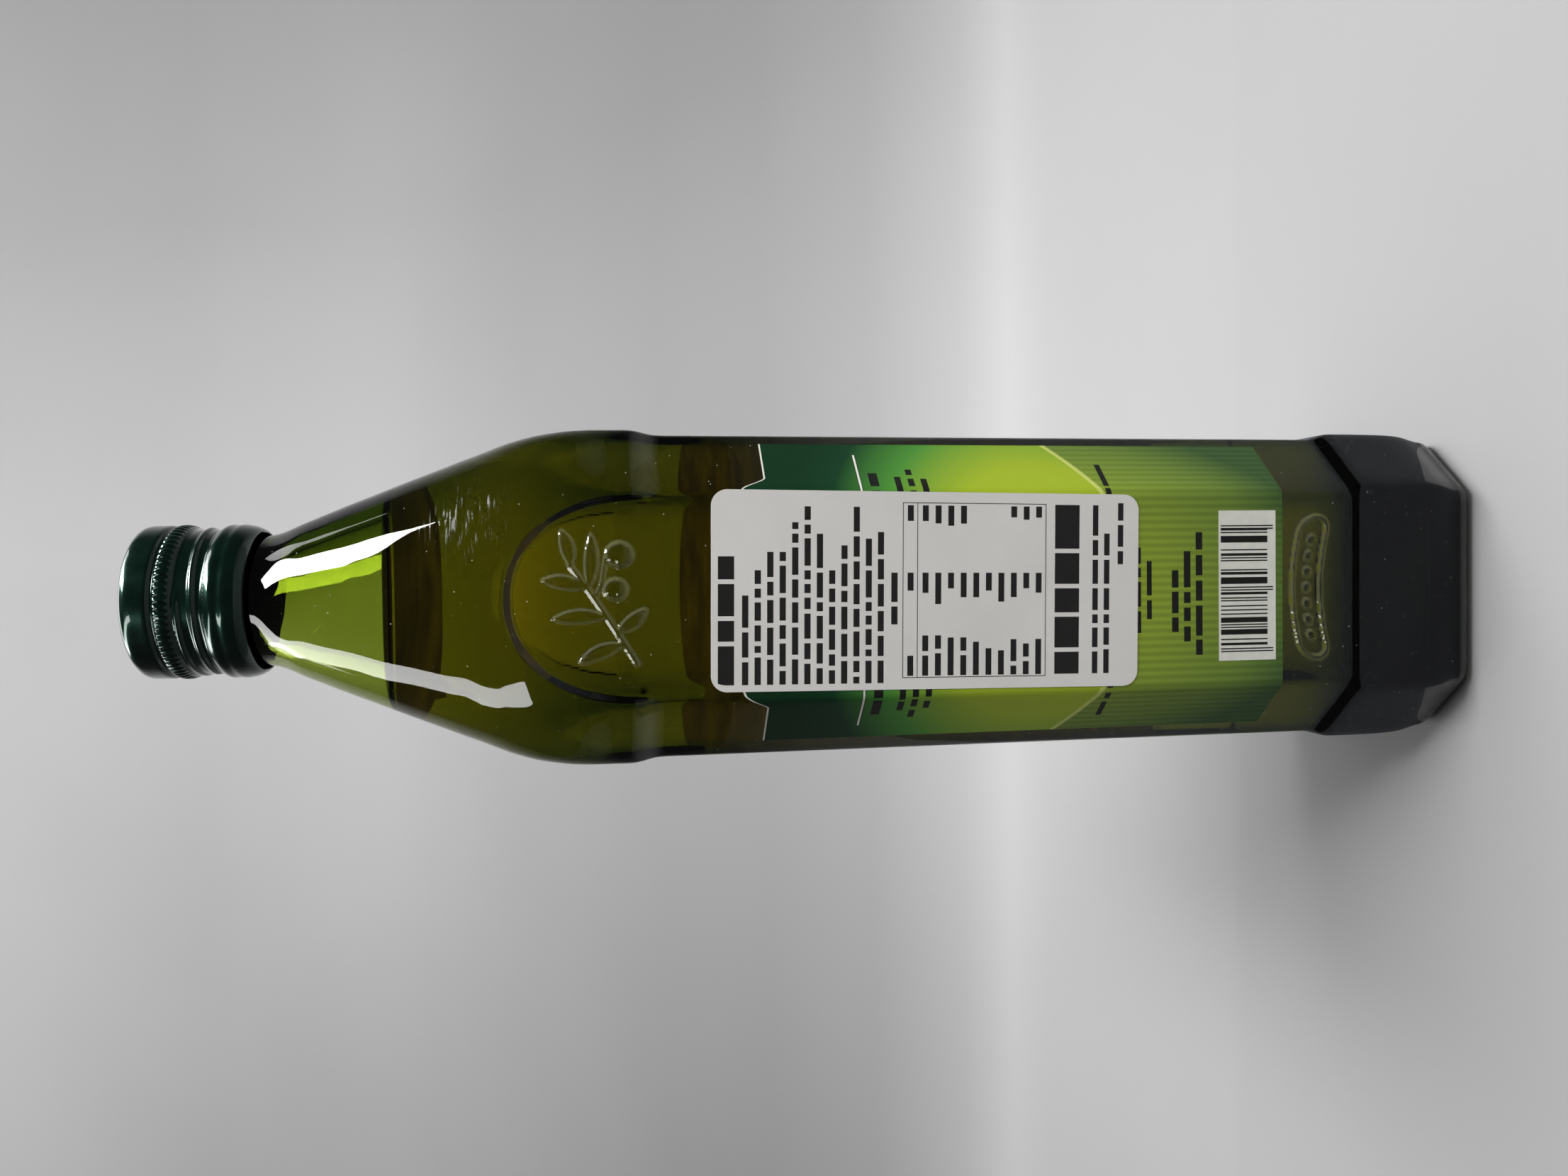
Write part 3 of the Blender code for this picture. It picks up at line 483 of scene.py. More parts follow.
def add_piece(name, materials, node, points, faces, cells=None, sharp=None, marks=None, uv=None):
    """Makes a mesh object from points in millimetres and arrays of faces, rides it on the bottle and
    hides the solid it stands for. cells picks the material of each face, marks is a number on each face
    for the nodes to read, and uv is a place in the print for each point."""
    mesh = bpy.data.meshes.new(name)
    mesh.from_pydata((points * MM).tolist(), [], sum((part.tolist() for part in faces), []))
    for material in materials:
        mesh.materials.append(material)
    if cells is not None:
        mesh.polygons.foreach_set("material_index", np.asarray(cells, np.int32))
    if marks is not None:
        layer = mesh.attributes.new("open_side", "FLOAT", "FACE")
        layer.data.foreach_set("value", np.asarray(marks, np.float32))
    if uv is not None:
        corners = np.zeros(len(mesh.loops), np.int32)
        mesh.loops.foreach_get("vertex_index", corners)
        layer = mesh.uv_layers.new(name="print")
        layer.data.foreach_set("uv", np.asarray(uv, np.float32)[corners].ravel())
    mesh.shade_smooth()
    if sharp:
        mesh.set_sharp_from_angle(angle=math.radians(sharp))
    mesh.validate()
    mesh.update()
    piece = link(name, mesh)
    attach(piece, "root")
    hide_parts(node)
    return piece


def clear_body(name, ior, wetted, settings):
    """A clear smooth body that is tinted inside. Its index of refraction is wetted on the faces where it
    touches the other body, and ior on the faces that are marked as open."""
    material, tree = new_material(name, Base_Color=(1.0, 1.0, 1.0), Roughness=0.0, IOR=ior,
                                  Transmission_Weight=1.0)
    side = add(tree, "Attribute", attribute_name="open_side", out="Fac")
    add(tree, "MapRange", side, 0.0, 1.0, wetted, ior, to="IOR")
    add(tree, "VolumeAbsorption", tuple(settings.tint), settings.density, to="Volume")
    return material, tree


def bottle_glass(settings):
    """Blown soda lime glass with iron in it, so a thin wall is yellow green and a thick foot is almost
    black. Its faces are fire polished, with a slow ripple from the mould."""
    # Where oil wets the wall, light passes from glass of 1.52 to oil of 1.47, a step of only 1.034.
    material, tree = clear_body("blown_green_bottle_glass", 1.52, 1.034, settings)
    place = add(tree, "TexCoord", out="Object")
    ripple = add(tree, "TexNoise", in_Vector=place, in_Scale=70.0, in_Detail=1.0)
    add(tree, "Bump", in_Strength=settings.ripple, in_Distance=0.4 * MM, in_Height=ripple, to="Normal")
    # A scuffed patch on the right of the shoulder: fine scratches inside a soft round mask.
    middle = tuple(v * MM for v in SCUFF_PLACE)
    away = add(tree, "VectorMath", place, middle, operation="DISTANCE", out="Value")
    mask = add(tree, "MapRange", away, *SCUFF_FADE, 1.0, 0.0)
    stretched = add(tree, "Mapping", place, in_Scale=(260.0, 260.0, 2400.0),
                    in_Rotation=(0.0, math.radians(-24.0), 0.0))
    scratches = add(tree, "TexNoise", in_Vector=stretched, in_Scale=1.0, in_Detail=4.0)
    worn = add(tree, "Math", mask, add(tree, "MapRange", scratches, 0.54, 0.68), operation="MULTIPLY")
    add(tree, "MapRange", worn, 0.0, 1.0, 0.0, 0.42, to="Roughness")
    # Specks of dust, each a small dot in a few of the cells.
    cells = add(tree, "TexVoronoi", in_Vector=place, in_Scale=480.0, out="Distance").node
    dot = add(tree, "MapRange", cells.outputs["Distance"], 0.03, 0.07, 0.55, 0.0)
    chosen = add(tree, "Math", add(tree, "SeparateXYZ", cells.outputs["Color"]), 0.6,
                 operation="GREATER_THAN")
    speck = add(tree, "Math", dot, chosen, operation="MULTIPLY")
    # The rims of the pressed twig and banner get a painted highlight: a little matt olive colour that stands
    # in for the light the relief bends.
    rim = add(tree, "Attribute", attribute_name="relief_rim", out="Fac")
    glint = add(tree, "Math", rim, settings.rims, operation="MULTIPLY")
    matt = add(tree, "Math", speck, glint, operation="ADD")
    add(tree, "MapRange", matt, 0.0, 1.0, 1.0, 0.0, to="Transmission Weight")
    add(tree, "MixRGB", rim, (1.0, 1.0, 1.0), linear("bcbf45"), to="Base Color")
    return material


def oil_material(settings):
    """Olive oil: clear, golden green and smooth. Its sides lie in the glass, so only its top bends light."""
    return clear_body("virgin_olive_oil", 1.47, 1.0, settings)[0]


def build_glass(settings, level):
    """The skin of the glass: rows of the outside from the base up, then of the hollow from the mouth down,
    with every third column, and a point at each end. A number on each point marks the rims of the relief,
    which get a painted highlight."""
    angles = ring_angles(*RING_STEPS)
    inner_angles = angles[::3]
    contact = level + CLIMB
    outer = revolve(outside_rows(), angles)
    x, y, z = outer[..., 0], outer[..., 1].copy(), outer[..., 2]
    near = (np.abs(x) < RELIEF_HALF) & (y < 0.0)
    relief = np.where(near, pressed(x, z), 0.0)
    outer[..., 1] = y - np.sign(y) * (arch_press(x, z) - relief)
    inner = off_centre(revolve(cavity_rows(settings.wall / MM, contact), inner_angles))
    n, m = len(angles), len(inner_angles)
    rows, first = outer.shape[0], 1 + outer.shape[0] * n
    floor = np.array([[0.0, 0.0, BOWL_MIDDLE]])
    points = np.concatenate([[[0.0, 0.0, BASE_RISE]], outer.reshape(-1, 3), inner.reshape(-1, 3), floor])
    last = 1 + (rows - 1) * n
    k = np.arange(m)
    seam = np.stack([last + 3 * k, last + 3 * k + 1, last + 3 * k + 2, last + (3 * k + 3) % n,
                     first + (k + 1) % m, first + k], axis=1)
    skin = grid_faces(rows, n, 1)
    hollow = grid_faces(inner.shape[0], m, first)
    start = fan_faces(1 + np.arange(n), 0, True)
    end = fan_faces(len(points) - 1 - m + k, len(points) - 1, False)
    wet = points[hollow][..., 2].mean(axis=1) < contact
    dry = np.concatenate([np.ones(len(start) + len(skin) + len(seam)), ~wet, np.zeros(len(end))])
    piece = add_piece("bottle_glass", [bottle_glass(settings)], "glass_bottle", points,
                      (start, skin, seam, hollow, end), marks=dry)
    # A rim is where the relief is steep, measured over 0.4 mm.
    slope = np.hypot(*(pressed(x + a, z + b) - pressed(x - a, z - b) for a, b in ((0.2, 0.0), (0.0, 0.2))))
    rims = np.zeros(len(points), np.float32)
    rims[1:1 + rows * n] = np.where(near, np.clip(slope / 0.2 - 0.7, 0.0, 1.0), 0.0).ravel()
    piece.data.attributes.new("relief_rim", "FLOAT", "POINT").data.foreach_set("value", rims)


def meniscus_reach(slope):
    """Distance along a liquid's curved edge, in capillary lengths, where its surface has this slope."""
    return np.log(np.tan(slope / 4.0)) + 2.0 * np.cos(slope / 2.0)


def build_oil(settings, wall):
    """The oil: the hollow's rows below the level, moved a little into the wall, under a top that climbs
    the wall by a meniscus."""
    level, into_wall = settings.level / MM, 0.35
    contact = level + CLIMB
    angles = ring_angles(*RING_STEPS)[::3]
    rows = cavity_rows(wall / MM, contact, into_wall)
    rows = rows[:, rows[0] <= contact + 1e-6][:, ::-1]
    side = revolve(rows, angles)
    steepest = 2.0 * math.asin(CLIMB / (2.0 * CAPILLARY))
    slope = steepest * np.array([1.0, 0.93, 0.85, 0.75, 0.64, 0.52, 0.4, 0.29, 0.19, 0.11, 0.05, 0.02])
    away = CAPILLARY * (meniscus_reach(steepest) - meniscus_reach(slope))
    rim = rows[:, -1:]
    share = np.append(1.0 - (away + into_wall) / rim[1], [0.5, 0.25])
    top_rows = np.repeat(rim, len(share), axis=1)
    top_rows[1:3] *= share
    top_rows[0] = level + 2.0 * CAPILLARY * np.append(np.sin(slope / 2.0), [0.0, 0.0])
    top = revolve(top_rows, angles)
    points, faces = capped(BOWL_MIDDLE - into_wall, np.concatenate([side, top]), level)
    start, skin, end = faces
    free = np.concatenate([np.zeros(len(start)), np.arange(len(skin)) // len(angles) >= side.shape[0] - 1,
                           np.ones(len(end))])
    add_piece("olive_oil", [oil_material(settings)], "oil", off_centre(points), faces,
              marks=free)


def cap_material(settings):
    """Drawn aluminium under a tinted lacquer: a metal's soft broad shine below a clear hard coat, with
    fine rolling lines round it."""
    material, tree = new_material(
        "lacquered_aluminium", Base_Color=tuple(settings.lacquer), Metallic=0.75, Roughness=0.25,
        Coat_Weight=1.0, Coat_Roughness=0.04, Specular_IOR_Level=0.5)
    stretched = add(tree, "Mapping", add(tree, "TexCoord", out="Object"), in_Scale=(60.0, 60.0, 2600.0))
    lines = add(tree, "TexNoise", in_Vector=stretched, in_Scale=1.0, in_Detail=3.0)
    cloud = mottle(tree, tuple(settings.lacquer), 0.85, 1.1, in_Scale=240.0, in_Detail=4.0)
    add(tree, "MapRange", cloud, 0.3, 0.7, 0.18, 0.3, to="Roughness")
    add(tree, "Bump", in_Strength=0.15, in_Distance=0.02 * MM, in_Height=lines, to="Normal")
    return material


def build_cap(settings):
    """The cap: its profile turned round the axis, with knurls that step its bead in and out, and a
    right-handed thread of a little over one turn rolled outwards."""
    profile = np.array(CAP_SIDE)
    run = np.concatenate([[0.0], np.cumsum(np.hypot(*np.diff(profile, axis=0).T))])
    # The lip is the lowest point. Steps are shortest where the thread lies, and long inside the cap.
    foot = np.argmin(profile[:, 1])
    step = np.where((profile[:-1, 1] <= 273.3) & (profile[1:, 1] >= 268.7), 0.16, 0.5)
    step[foot:] = 2.0
    counts = np.maximum(1, np.round(np.diff(run) / step)).astype(int)
    at = spans(*[(run[i], run[i + 1], counts[i]) for i in range(len(counts))])[1:-1]
    radius, z = np.interp(at, run, profile[:, 0]), np.interp(at, run, profile[:, 1])
    angles = np.arange(KNURLS * settings.columns) * 2.0 * math.pi / (KNURLS * settings.columns)
    outside = (at < run[foot])[:, None]
    grid_z, turn = z[:, None], (angles[None, :] / (2.0 * math.pi) - 0.5) % 1.0
    low, high = KNURL_SPAN
    bead = ease(grid_z, low, low + 0.7) * (1.0 - ease(grid_z, high - 0.6, high)) * outside
    wave = np.cos(angles * KNURLS)[None, :]
    push = -KNURL_DEEP * bead * ease(wave, -0.55, 0.55)
    for lap in (0.0, 1.0):
        away = np.abs(grid_z - THREAD_START - THREAD_PITCH * (turn + lap)) / THREAD_HALF
        ends = ease(turn + lap, 0.0, 0.05) * (1.0 - ease(turn + lap, THREAD_TURNS - 0.08, THREAD_TURNS))
        thread = np.where(away < 1.0, np.cos(away * math.pi / 2.0) ** 2, 0.0)
        push = push + THREAD_RAISE * ends * outside * thread
    out = radius[:, None] + push
    grid = np.stack([out * np.cos(angles), out * np.sin(angles), np.broadcast_to(grid_z, out.shape)], axis=2)
    points, faces = capped(profile[0, 1], grid, profile[-1, 1])
    add_piece("screw_cap", [cap_material(settings)], "cap", points,
              [part[:, ::-1] for part in faces], sharp=40.0)


def wrap_points(along, z, offset, turned):
    """Points on the panel at lengths along its wrap, which is 0 in the middle of the face. The section's
    line is measured by adding its steps, and offset goes along its outward normal."""
    angles = np.radians(np.linspace(-150.0, -30.0, 2401))
    radius = section(angles, [PANEL_HALF], [PANEL_FLAT], [PANEL_FOLD], [0.0], [2.0])[0]
    line = np.stack([radius * np.cos(angles), radius * np.sin(angles)])
    steps = np.hypot(*np.diff(line, axis=1))
    length = np.concatenate([[0.0], np.cumsum(steps)])
    length -= length[len(length) // 2]
    tangent = np.gradient(line, axis=1)
    tangent /= np.hypot(*tangent)
    x, y, tx, ty = (np.interp(along, length, v) for v in (*line, *tangent))
    turn = -1.0 if turned else 1.0
    return np.stack([turn * (x + ty * offset), turn * (y - tx * offset), z], axis=2)


def label_top(along, centre, side_z, arch_z):
    """Height of a label's top edge: level at the sides, then a step up to a low arch."""
    reach = np.clip(np.abs(along - centre) / TOP_SHOULDER, 0.0, 1.0)
    arch = (arch_z - side_z - TOP_STEP) * np.sqrt(1.0 - reach ** 2)
    return side_z + TOP_STEP * ease(1.0 - reach, 0.0, 0.12) + arch


def add_sheet(name, grids, along, up, cells, materials, edge=1):
    """Makes a thin sheet from the grids of its outer and its inner face, where along and up are the places
    of their points in the print. cells picks the material of each outer face, and edge that of the inner
    faces and the four narrow sides."""
    rows, columns = along.shape
    far = rows * columns
    index = np.arange(far).reshape(rows, columns)
    faces = [grid_faces(rows, columns, 0, closed=False),
             grid_faces(rows, columns, far, closed=False)[:, ::-1]]
    for line in (index[0, ::-1], index[-1], index[:, 0], index[::-1, -1]):
        faces.append(np.stack([line[:-1], line[1:], line[1:] + far, line[:-1] + far], axis=1))
    picks = np.full(sum(len(part) for part in faces), edge)
    picks[:cells.size] = cells.ravel()
    uv = np.stack([0.5 + along / PRINT_SPAN, up / PRINT_SPAN], axis=2).reshape(-1, 2)
    add_piece(name, materials, name, np.concatenate([grid.reshape(-1, 3) for grid in grids]), faces,
              cells=picks, sharp=40.0, uv=np.tile(uv, (2, 1)))


def breaks(*parts):
    """Sorted grid lines from parts, without any two closer than a hundredth of a millimetre."""
    return np.unique(np.round(np.concatenate([np.atleast_1d(p) for p in parts]), 2))


def row_edges(rows):
    """Low and high edge of each row, which starts with its foot and its height."""
    return [v for z, tall, *_ in rows for v in (z, z + tall)]


def blank_page(xs, zs):
    """Grid lines of a print, and the ink of each of its cells, which is 0 to begin with."""
    return xs, zs, np.zeros((len(zs) - 1, len(xs) - 1), int)


def paint(page, left, right, low, high, ink):
    """Gives an ink to the cells whose middles lie in a rectangle."""
    xs, zs, cells = page
    x, z = (xs[1:] + xs[:-1]) / 2.0, (zs[1:] + zs[:-1]) / 2.0
    cells[np.ix_((z > low) & (z < high), (x > left) & (x < right))] = ink


def paint_box(page, left, right, low, high, wide, ink):
    """Draws the outline of a rectangle, inside its edges."""
    for rule in ((left, right, low, low + wide), (left, right, high - wide, high),
                 (left, left + wide, low, high), (right - wide, right, low, high)):
        paint(page, *rule, ink)


def paint_words(page, draw, row, ink, shortest=1.4, longest=6.5, gap=0.9):
    """Fills a row with bars of random lengths, like words. A row is its foot, height, left and right end."""
    low, tall, at, right = row
    while at < right - shortest:
        stop = min(right, at + draw.uniform(shortest, longest))
        stop = right if right - stop < shortest + gap else stop
        paint(page, at, stop, low, low + tall, ink)
        at = stop + gap


def paper_edge(name, code, painted_glow=0.0):
    """Plain uncoated paper, seen at the cut edge and on the glued side, with a faint fibre mottle. The last
    argument is the strength of a painted glow: brown emission that stands in for the light that comes through
    wet paper from behind, which shows through the oil."""
    # The emission is a painted glow, whose strength is 0 unless one is asked for.
    material, tree = new_material(name, Base_Color=linear(code), Roughness=0.7,
                                  Emission_Color=linear("958065"), Emission_Strength=painted_glow)
    fibre = mottle(tree, linear(code), 0.9, 1.08, in_Scale=900.0, in_Detail=4.0)
    add(tree, "Bump", in_Strength=0.2, in_Distance=0.03 * MM, in_Height=fibre, to="Normal")
    if painted_glow:
        # The painted glow is broken into streaks by stretched noise, and is stronger up to 216.5 mm than from
        # 228.5 mm up.
        place = add(tree, "TexCoord", out="Object")
        stretched = add(tree, "Mapping", place, in_Scale=(60.0, 60.0, 420.0))
        glow_noise = add(tree, "TexNoise", in_Vector=stretched, in_Scale=1.0, in_Detail=4.0)
        streaks = add(tree, "MapRange", glow_noise, 0.35, 0.65, 0.55, 1.35)
        height = add(tree, "SeparateXYZ", place).node.outputs[2]
        thin = add(tree, "MapRange", height, 0.2165, 0.2285, 1.2 * painted_glow, 0.45 * painted_glow)
        add(tree, "Math", streaks, thin, operation="MULTIPLY", to="Emission Strength")
    return material


def printed(name, roughness=0.42):
    """Coated label paper under a thin varnish: an even print with a soft shine and a faint paper grain."""
    material, tree = new_material(name, Roughness=roughness, Coat_Weight=0.05, Coat_Roughness=0.25,
                                  Specular_IOR_Level=0.2)
    place = add(tree, "TexCoord", out="Object")
    grain = add(tree, "TexNoise", in_Vector=place, in_Scale=1500.0, in_Detail=3.0)
    add(tree, "MapRange", grain, 0.3, 0.7, roughness - 0.06, roughness + 0.06, to="Roughness")
    add(tree, "Bump", in_Strength=0.1, in_Distance=0.02 * MM, in_Height=grain, to="Normal")
    return material, tree


def print_place(tree):
    """Place on a label in millimetres, from its UV map: along its wrap from the middle, and up."""
    uv = add(tree, "UVMap", uv_map="print")
    scaled = add(tree, "VectorMath", uv, (PRINT_SPAN, PRINT_SPAN, 0.0), operation="MULTIPLY")
    split = add(tree, "SeparateXYZ", scaled).node
    return add(tree, "Math", split.outputs[0], PRINT_SPAN / 2.0, operation="SUBTRACT"), split.outputs[1]


def oval(tree, along, up, middle, half_wide, half_tall):
    """Distance from a place at height middle, as a share of an oval's half width and half height."""
    wide = add(tree, "Math", along, half_wide, operation="DIVIDE")
    tall = add(tree, "Math", add(tree, "Math", up, middle, operation="SUBTRACT"), half_tall,
               operation="DIVIDE")
    return add(tree, "VectorMath", add(tree, "CombineXYZ", wide, tall, 0.0), operation="LENGTH", out="Value")


def back_print(settings):
    """The back label's field: deep green at the top and the corners, a yellow green glow round the
    middle, and under a curved line a striped mid green."""
    material, tree = printed("varnished_label_print")
    along, up = print_place(tree)
    upper = add(tree, "ValToRGB", oval(tree, along, up, 101.0, 68.0, 54.0), stops=[
        (0.0, tuple(settings.glow)), (0.42, linear("a3b92b")), (0.66, linear("4c8f36")),
        (0.86, tuple(settings.deep)), (1.0, linear("0b331b"))])
    lower = add(tree, "ValToRGB", oval(tree, along, up, 100.0, 44.0, 60.0), stops=[
        (0.0, linear("a3b02c")), (0.45, tuple(settings.field)), (0.8, linear("6a8433")),
        (1.0, linear("3c5a2e"))])
    # The stripes are 1.62 mm apart.
    turns = add(tree, "Math", along, 2.0 * math.pi / 1.62, operation="MULTIPLY")
    stripe = add(tree, "MapRange", add(tree, "Math", turns, operation="SINE"), -0.6, 0.6, 0.86, 1.08)
    striped = add(tree, "HueSaturation", in_Value=stripe, in_Color=lower)
    # The curved line is a parabola, 83.4 mm up in the middle and less than a millimetre thick.
    square = add(tree, "Math", add(tree, "Math", along, along, operation="MULTIPLY"), 0.0106,
                 operation="MULTIPLY")
    over = add(tree, "Math", add(tree, "Math", up, 83.4, operation="SUBTRACT"), square, operation="SUBTRACT")
    mixed = add(tree, "MixRGB", add(tree, "MapRange", over, -0.1, 0.1), striped, upper)
    line = add(tree, "MapRange", add(tree, "Math", over, operation="ABSOLUTE"), 0.35, 0.75, 0.75, 0.0)
    add(tree, "MixRGB", line, mixed, linear("d4dc7a"), to="Base Color")
    return material


def front_print(settings):
    """The far labels' field: deep green with a lighter round glow in the middle."""
    material, tree = printed("dark_label_print")
    away = oval(tree, *print_place(tree), 112.0, 60.0, 70.0)
    add(tree, "ValToRGB", away, to="Base Color", stops=[
        (0.0, linear("3f7a34")), (0.5, linear("1f5a2c")), (0.8, tuple(settings.deep)),
        (1.0, linear("08240f"))])
    return material


def flat_ink(name, code):
    """One printed colour on coated paper, with a slight unevenness of the ink."""
    material, tree = printed(name, 0.45)
    mottle(tree, linear(code), 0.93, 1.05, in_Scale=420.0, in_Detail=3.0)
    return material


def label_grid(shape, page, fixed):
    """Along and height of each grid point of a label. Lines up to the fixed height are level, and those
    over it are spread up to the curved top edge."""
    left, right, _, side_z, arch_z = shape
    xs, zs = page[0], page[1][:, None]
    along = np.broadcast_to(xs, (len(zs), len(xs)))
    top = label_top(along, (left + right) / 2.0, side_z, arch_z)
    share = (zs - fixed) / (arch_z - fixed)
    return along, np.where(zs <= fixed, zs, fixed + share * (top - fixed))


def build_back_label(settings):
    """The label on the shown side: its field, a cream rule, rows of plain bars, a bar code panel and a
    painted highlight along its top edge.
    """
    left, right, low, _, arch_z = BACK_LABEL
    draw = np.random.default_rng(settings.seed)
    modules = np.linspace(-BARS_HALF, BARS_HALF, MODULES + 1)
    fixed, rule = 140.0, (138.15, 138.3, 138.72, 138.87)
    rows = ((134.6, 1.9, -26, 26), (129.9, 1.3, -25, 25), (127.2, 1.3, -27, 27), (124.5, 1.3, -24, 24),
            (79.3, 1.5, -9, 9), (76.9, 1.1, -6, 6), (70.9, 1.5, -9, 4), (68.2, 1.5, -11, 8),
            (65.5, 1.5, -14, 12), (85.6, 1.2, -29, 29))
    page = blank_page(
        breaks(np.linspace(left, right, 120), modules, BARCODE[:2]),
        breaks(np.linspace(low, fixed, 30), np.linspace(fixed, arch_z, 12), row_edges(rows), BARCODE[2:],
               (BARS_FOOT, BARS_LOW, BARS_HIGH, arch_z - TOP_HIGHLIGHT), rule))
    for bottom, top, ink in zip(rule, rule[1:], (3, 2, 3)):
        paint(page, -29.5, 31.5, bottom, top, ink)
    for row in rows:
        paint_words(page, draw, row, 3)
    paint(page, *BARCODE, 2)
    # Random stripes, and a pair of longer ones at each end and in the middle.
    dark = draw.random(MODULES) < 0.5
    dark[:3] = dark[-3:] = dark[46:49] = (True, False, True)
    for i in np.flatnonzero(dark):
        foot = BARS_FOOT if i < 3 or i > MODULES - 4 or 45 < i < 49 else BARS_LOW
        paint(page, modules[i], modules[i + 1], foot, BARS_HIGH, 3)
    # A painted highlight: a white line along the label's top edge.
    paint(page, left, right, arch_z - TOP_HIGHLIGHT, arch_z, 2)
    along, up = label_grid(BACK_LABEL, page, fixed)
    add_sheet("back_label", [wrap_points(along, up, d, False) for d in LABEL_FACES], along, up,
              page[2], [back_print(settings), paper_edge("label_glue_side", "3a2a20"),
                        flat_ink("label_white_print", "e6e6dc"), flat_ink("label_black_print", "1c1e19")])


def build_front_label(settings):
    """The label on the far side: a deep green field with pale rules near its edges and plain bars."""
    left, right, low, _, arch_z = FRONT_LABEL
    draw = np.random.default_rng(settings.seed + 1)
    fixed, inset, wide = 150.0, 2.4, 0.5
    box = np.array((left + inset, right - inset, low + inset, arch_z - inset))
    inside = box + (wide, -wide, wide, -wide)
    rows = ((136.0, 5.2, -24.0, 24.0), (128.5, 2.6, -16.0, 16.0), (98.0, 2.2, -20.0, 20.0),
            (93.5, 2.2, -17.0, 17.0), (66.0, 1.6, -22.0, 22.0))
    page = blank_page(
        breaks(np.linspace(left, right, 90), box[:2], inside[:2]),
        breaks(np.linspace(low, fixed, 30), np.linspace(fixed, arch_z, 16), row_edges(rows), box[2:],
               inside[2:]))
    paint_box(page, *box, wide, 2)
    for row in rows:
        paint_words(page, draw, row, 2, 3.0, 9.0, 1.6)
    along, up = label_grid(FRONT_LABEL, page, fixed)
    # The label's glued side has a painted glow.
    add_sheet("front_label", [wrap_points(along, up, d, True) for d in LABEL_FACES], along, up,
              page[2], [front_print(settings), paper_edge("label_glue_side_painted_glow", "3a2a20", painted_glow=0.6),
                        flat_ink("label_gold_print", "c9b56a")])


def shoulder_points(turns, z, offset):
    """Points on the far shoulder, at turns from its middle in degrees and at heights, moved out by offset."""
    columns = []
    for turn, heights in zip(np.radians(90.0 - turns), z.T):
        rows = wall_rows(heights)
        radius = section(turn[None], rows[1] + offset, *rows[2:])[:, 0]
        columns.append(np.stack([radius * np.cos(turn), radius * np.sin(turn), heights], axis=1))
    return np.stack(columns, axis=1)


def build_shoulder_label(settings):
    """The curved label on the far shoulder: deep green inside a pale border, with an arched low edge."""
    turns = np.linspace(-BROW_TURN, BROW_TURN, 91)
    # The low edge steps down at a place across the shoulder, which is about 26 mm from the axis.
    x = 26.0 * np.tan(np.radians(np.clip(np.abs(turns), 0.0, 44.0)))
    low = BROW_LOW + (BROW_FOOT - BROW_LOW) * ease(x, *BROW_STEP)
    top = low + (BROW_TOP - low) * np.sqrt(np.maximum(1.0 - (np.abs(turns) / BROW_TURN) ** 3, 0.02))
    share = np.linspace(0.0, 1.0, 25)[:, None]
    z = low + share * (top - low)
    cells = np.zeros((24, 90), int)
    cells[[1, -2]] = 2
    along = np.broadcast_to(turns / 2.0, z.shape)
    # The label's glued side has a painted glow.
    add_sheet("shoulder_label", [shoulder_points(turns, z, d) for d in LABEL_FACES], along,
              z - 90.0, cells, [front_print(settings),
                                paper_edge("shoulder_label_glue_side_painted_glow", "7d5c48", painted_glow=0.6),
                                flat_ink("shoulder_label_gold_print", "c9b56a")])


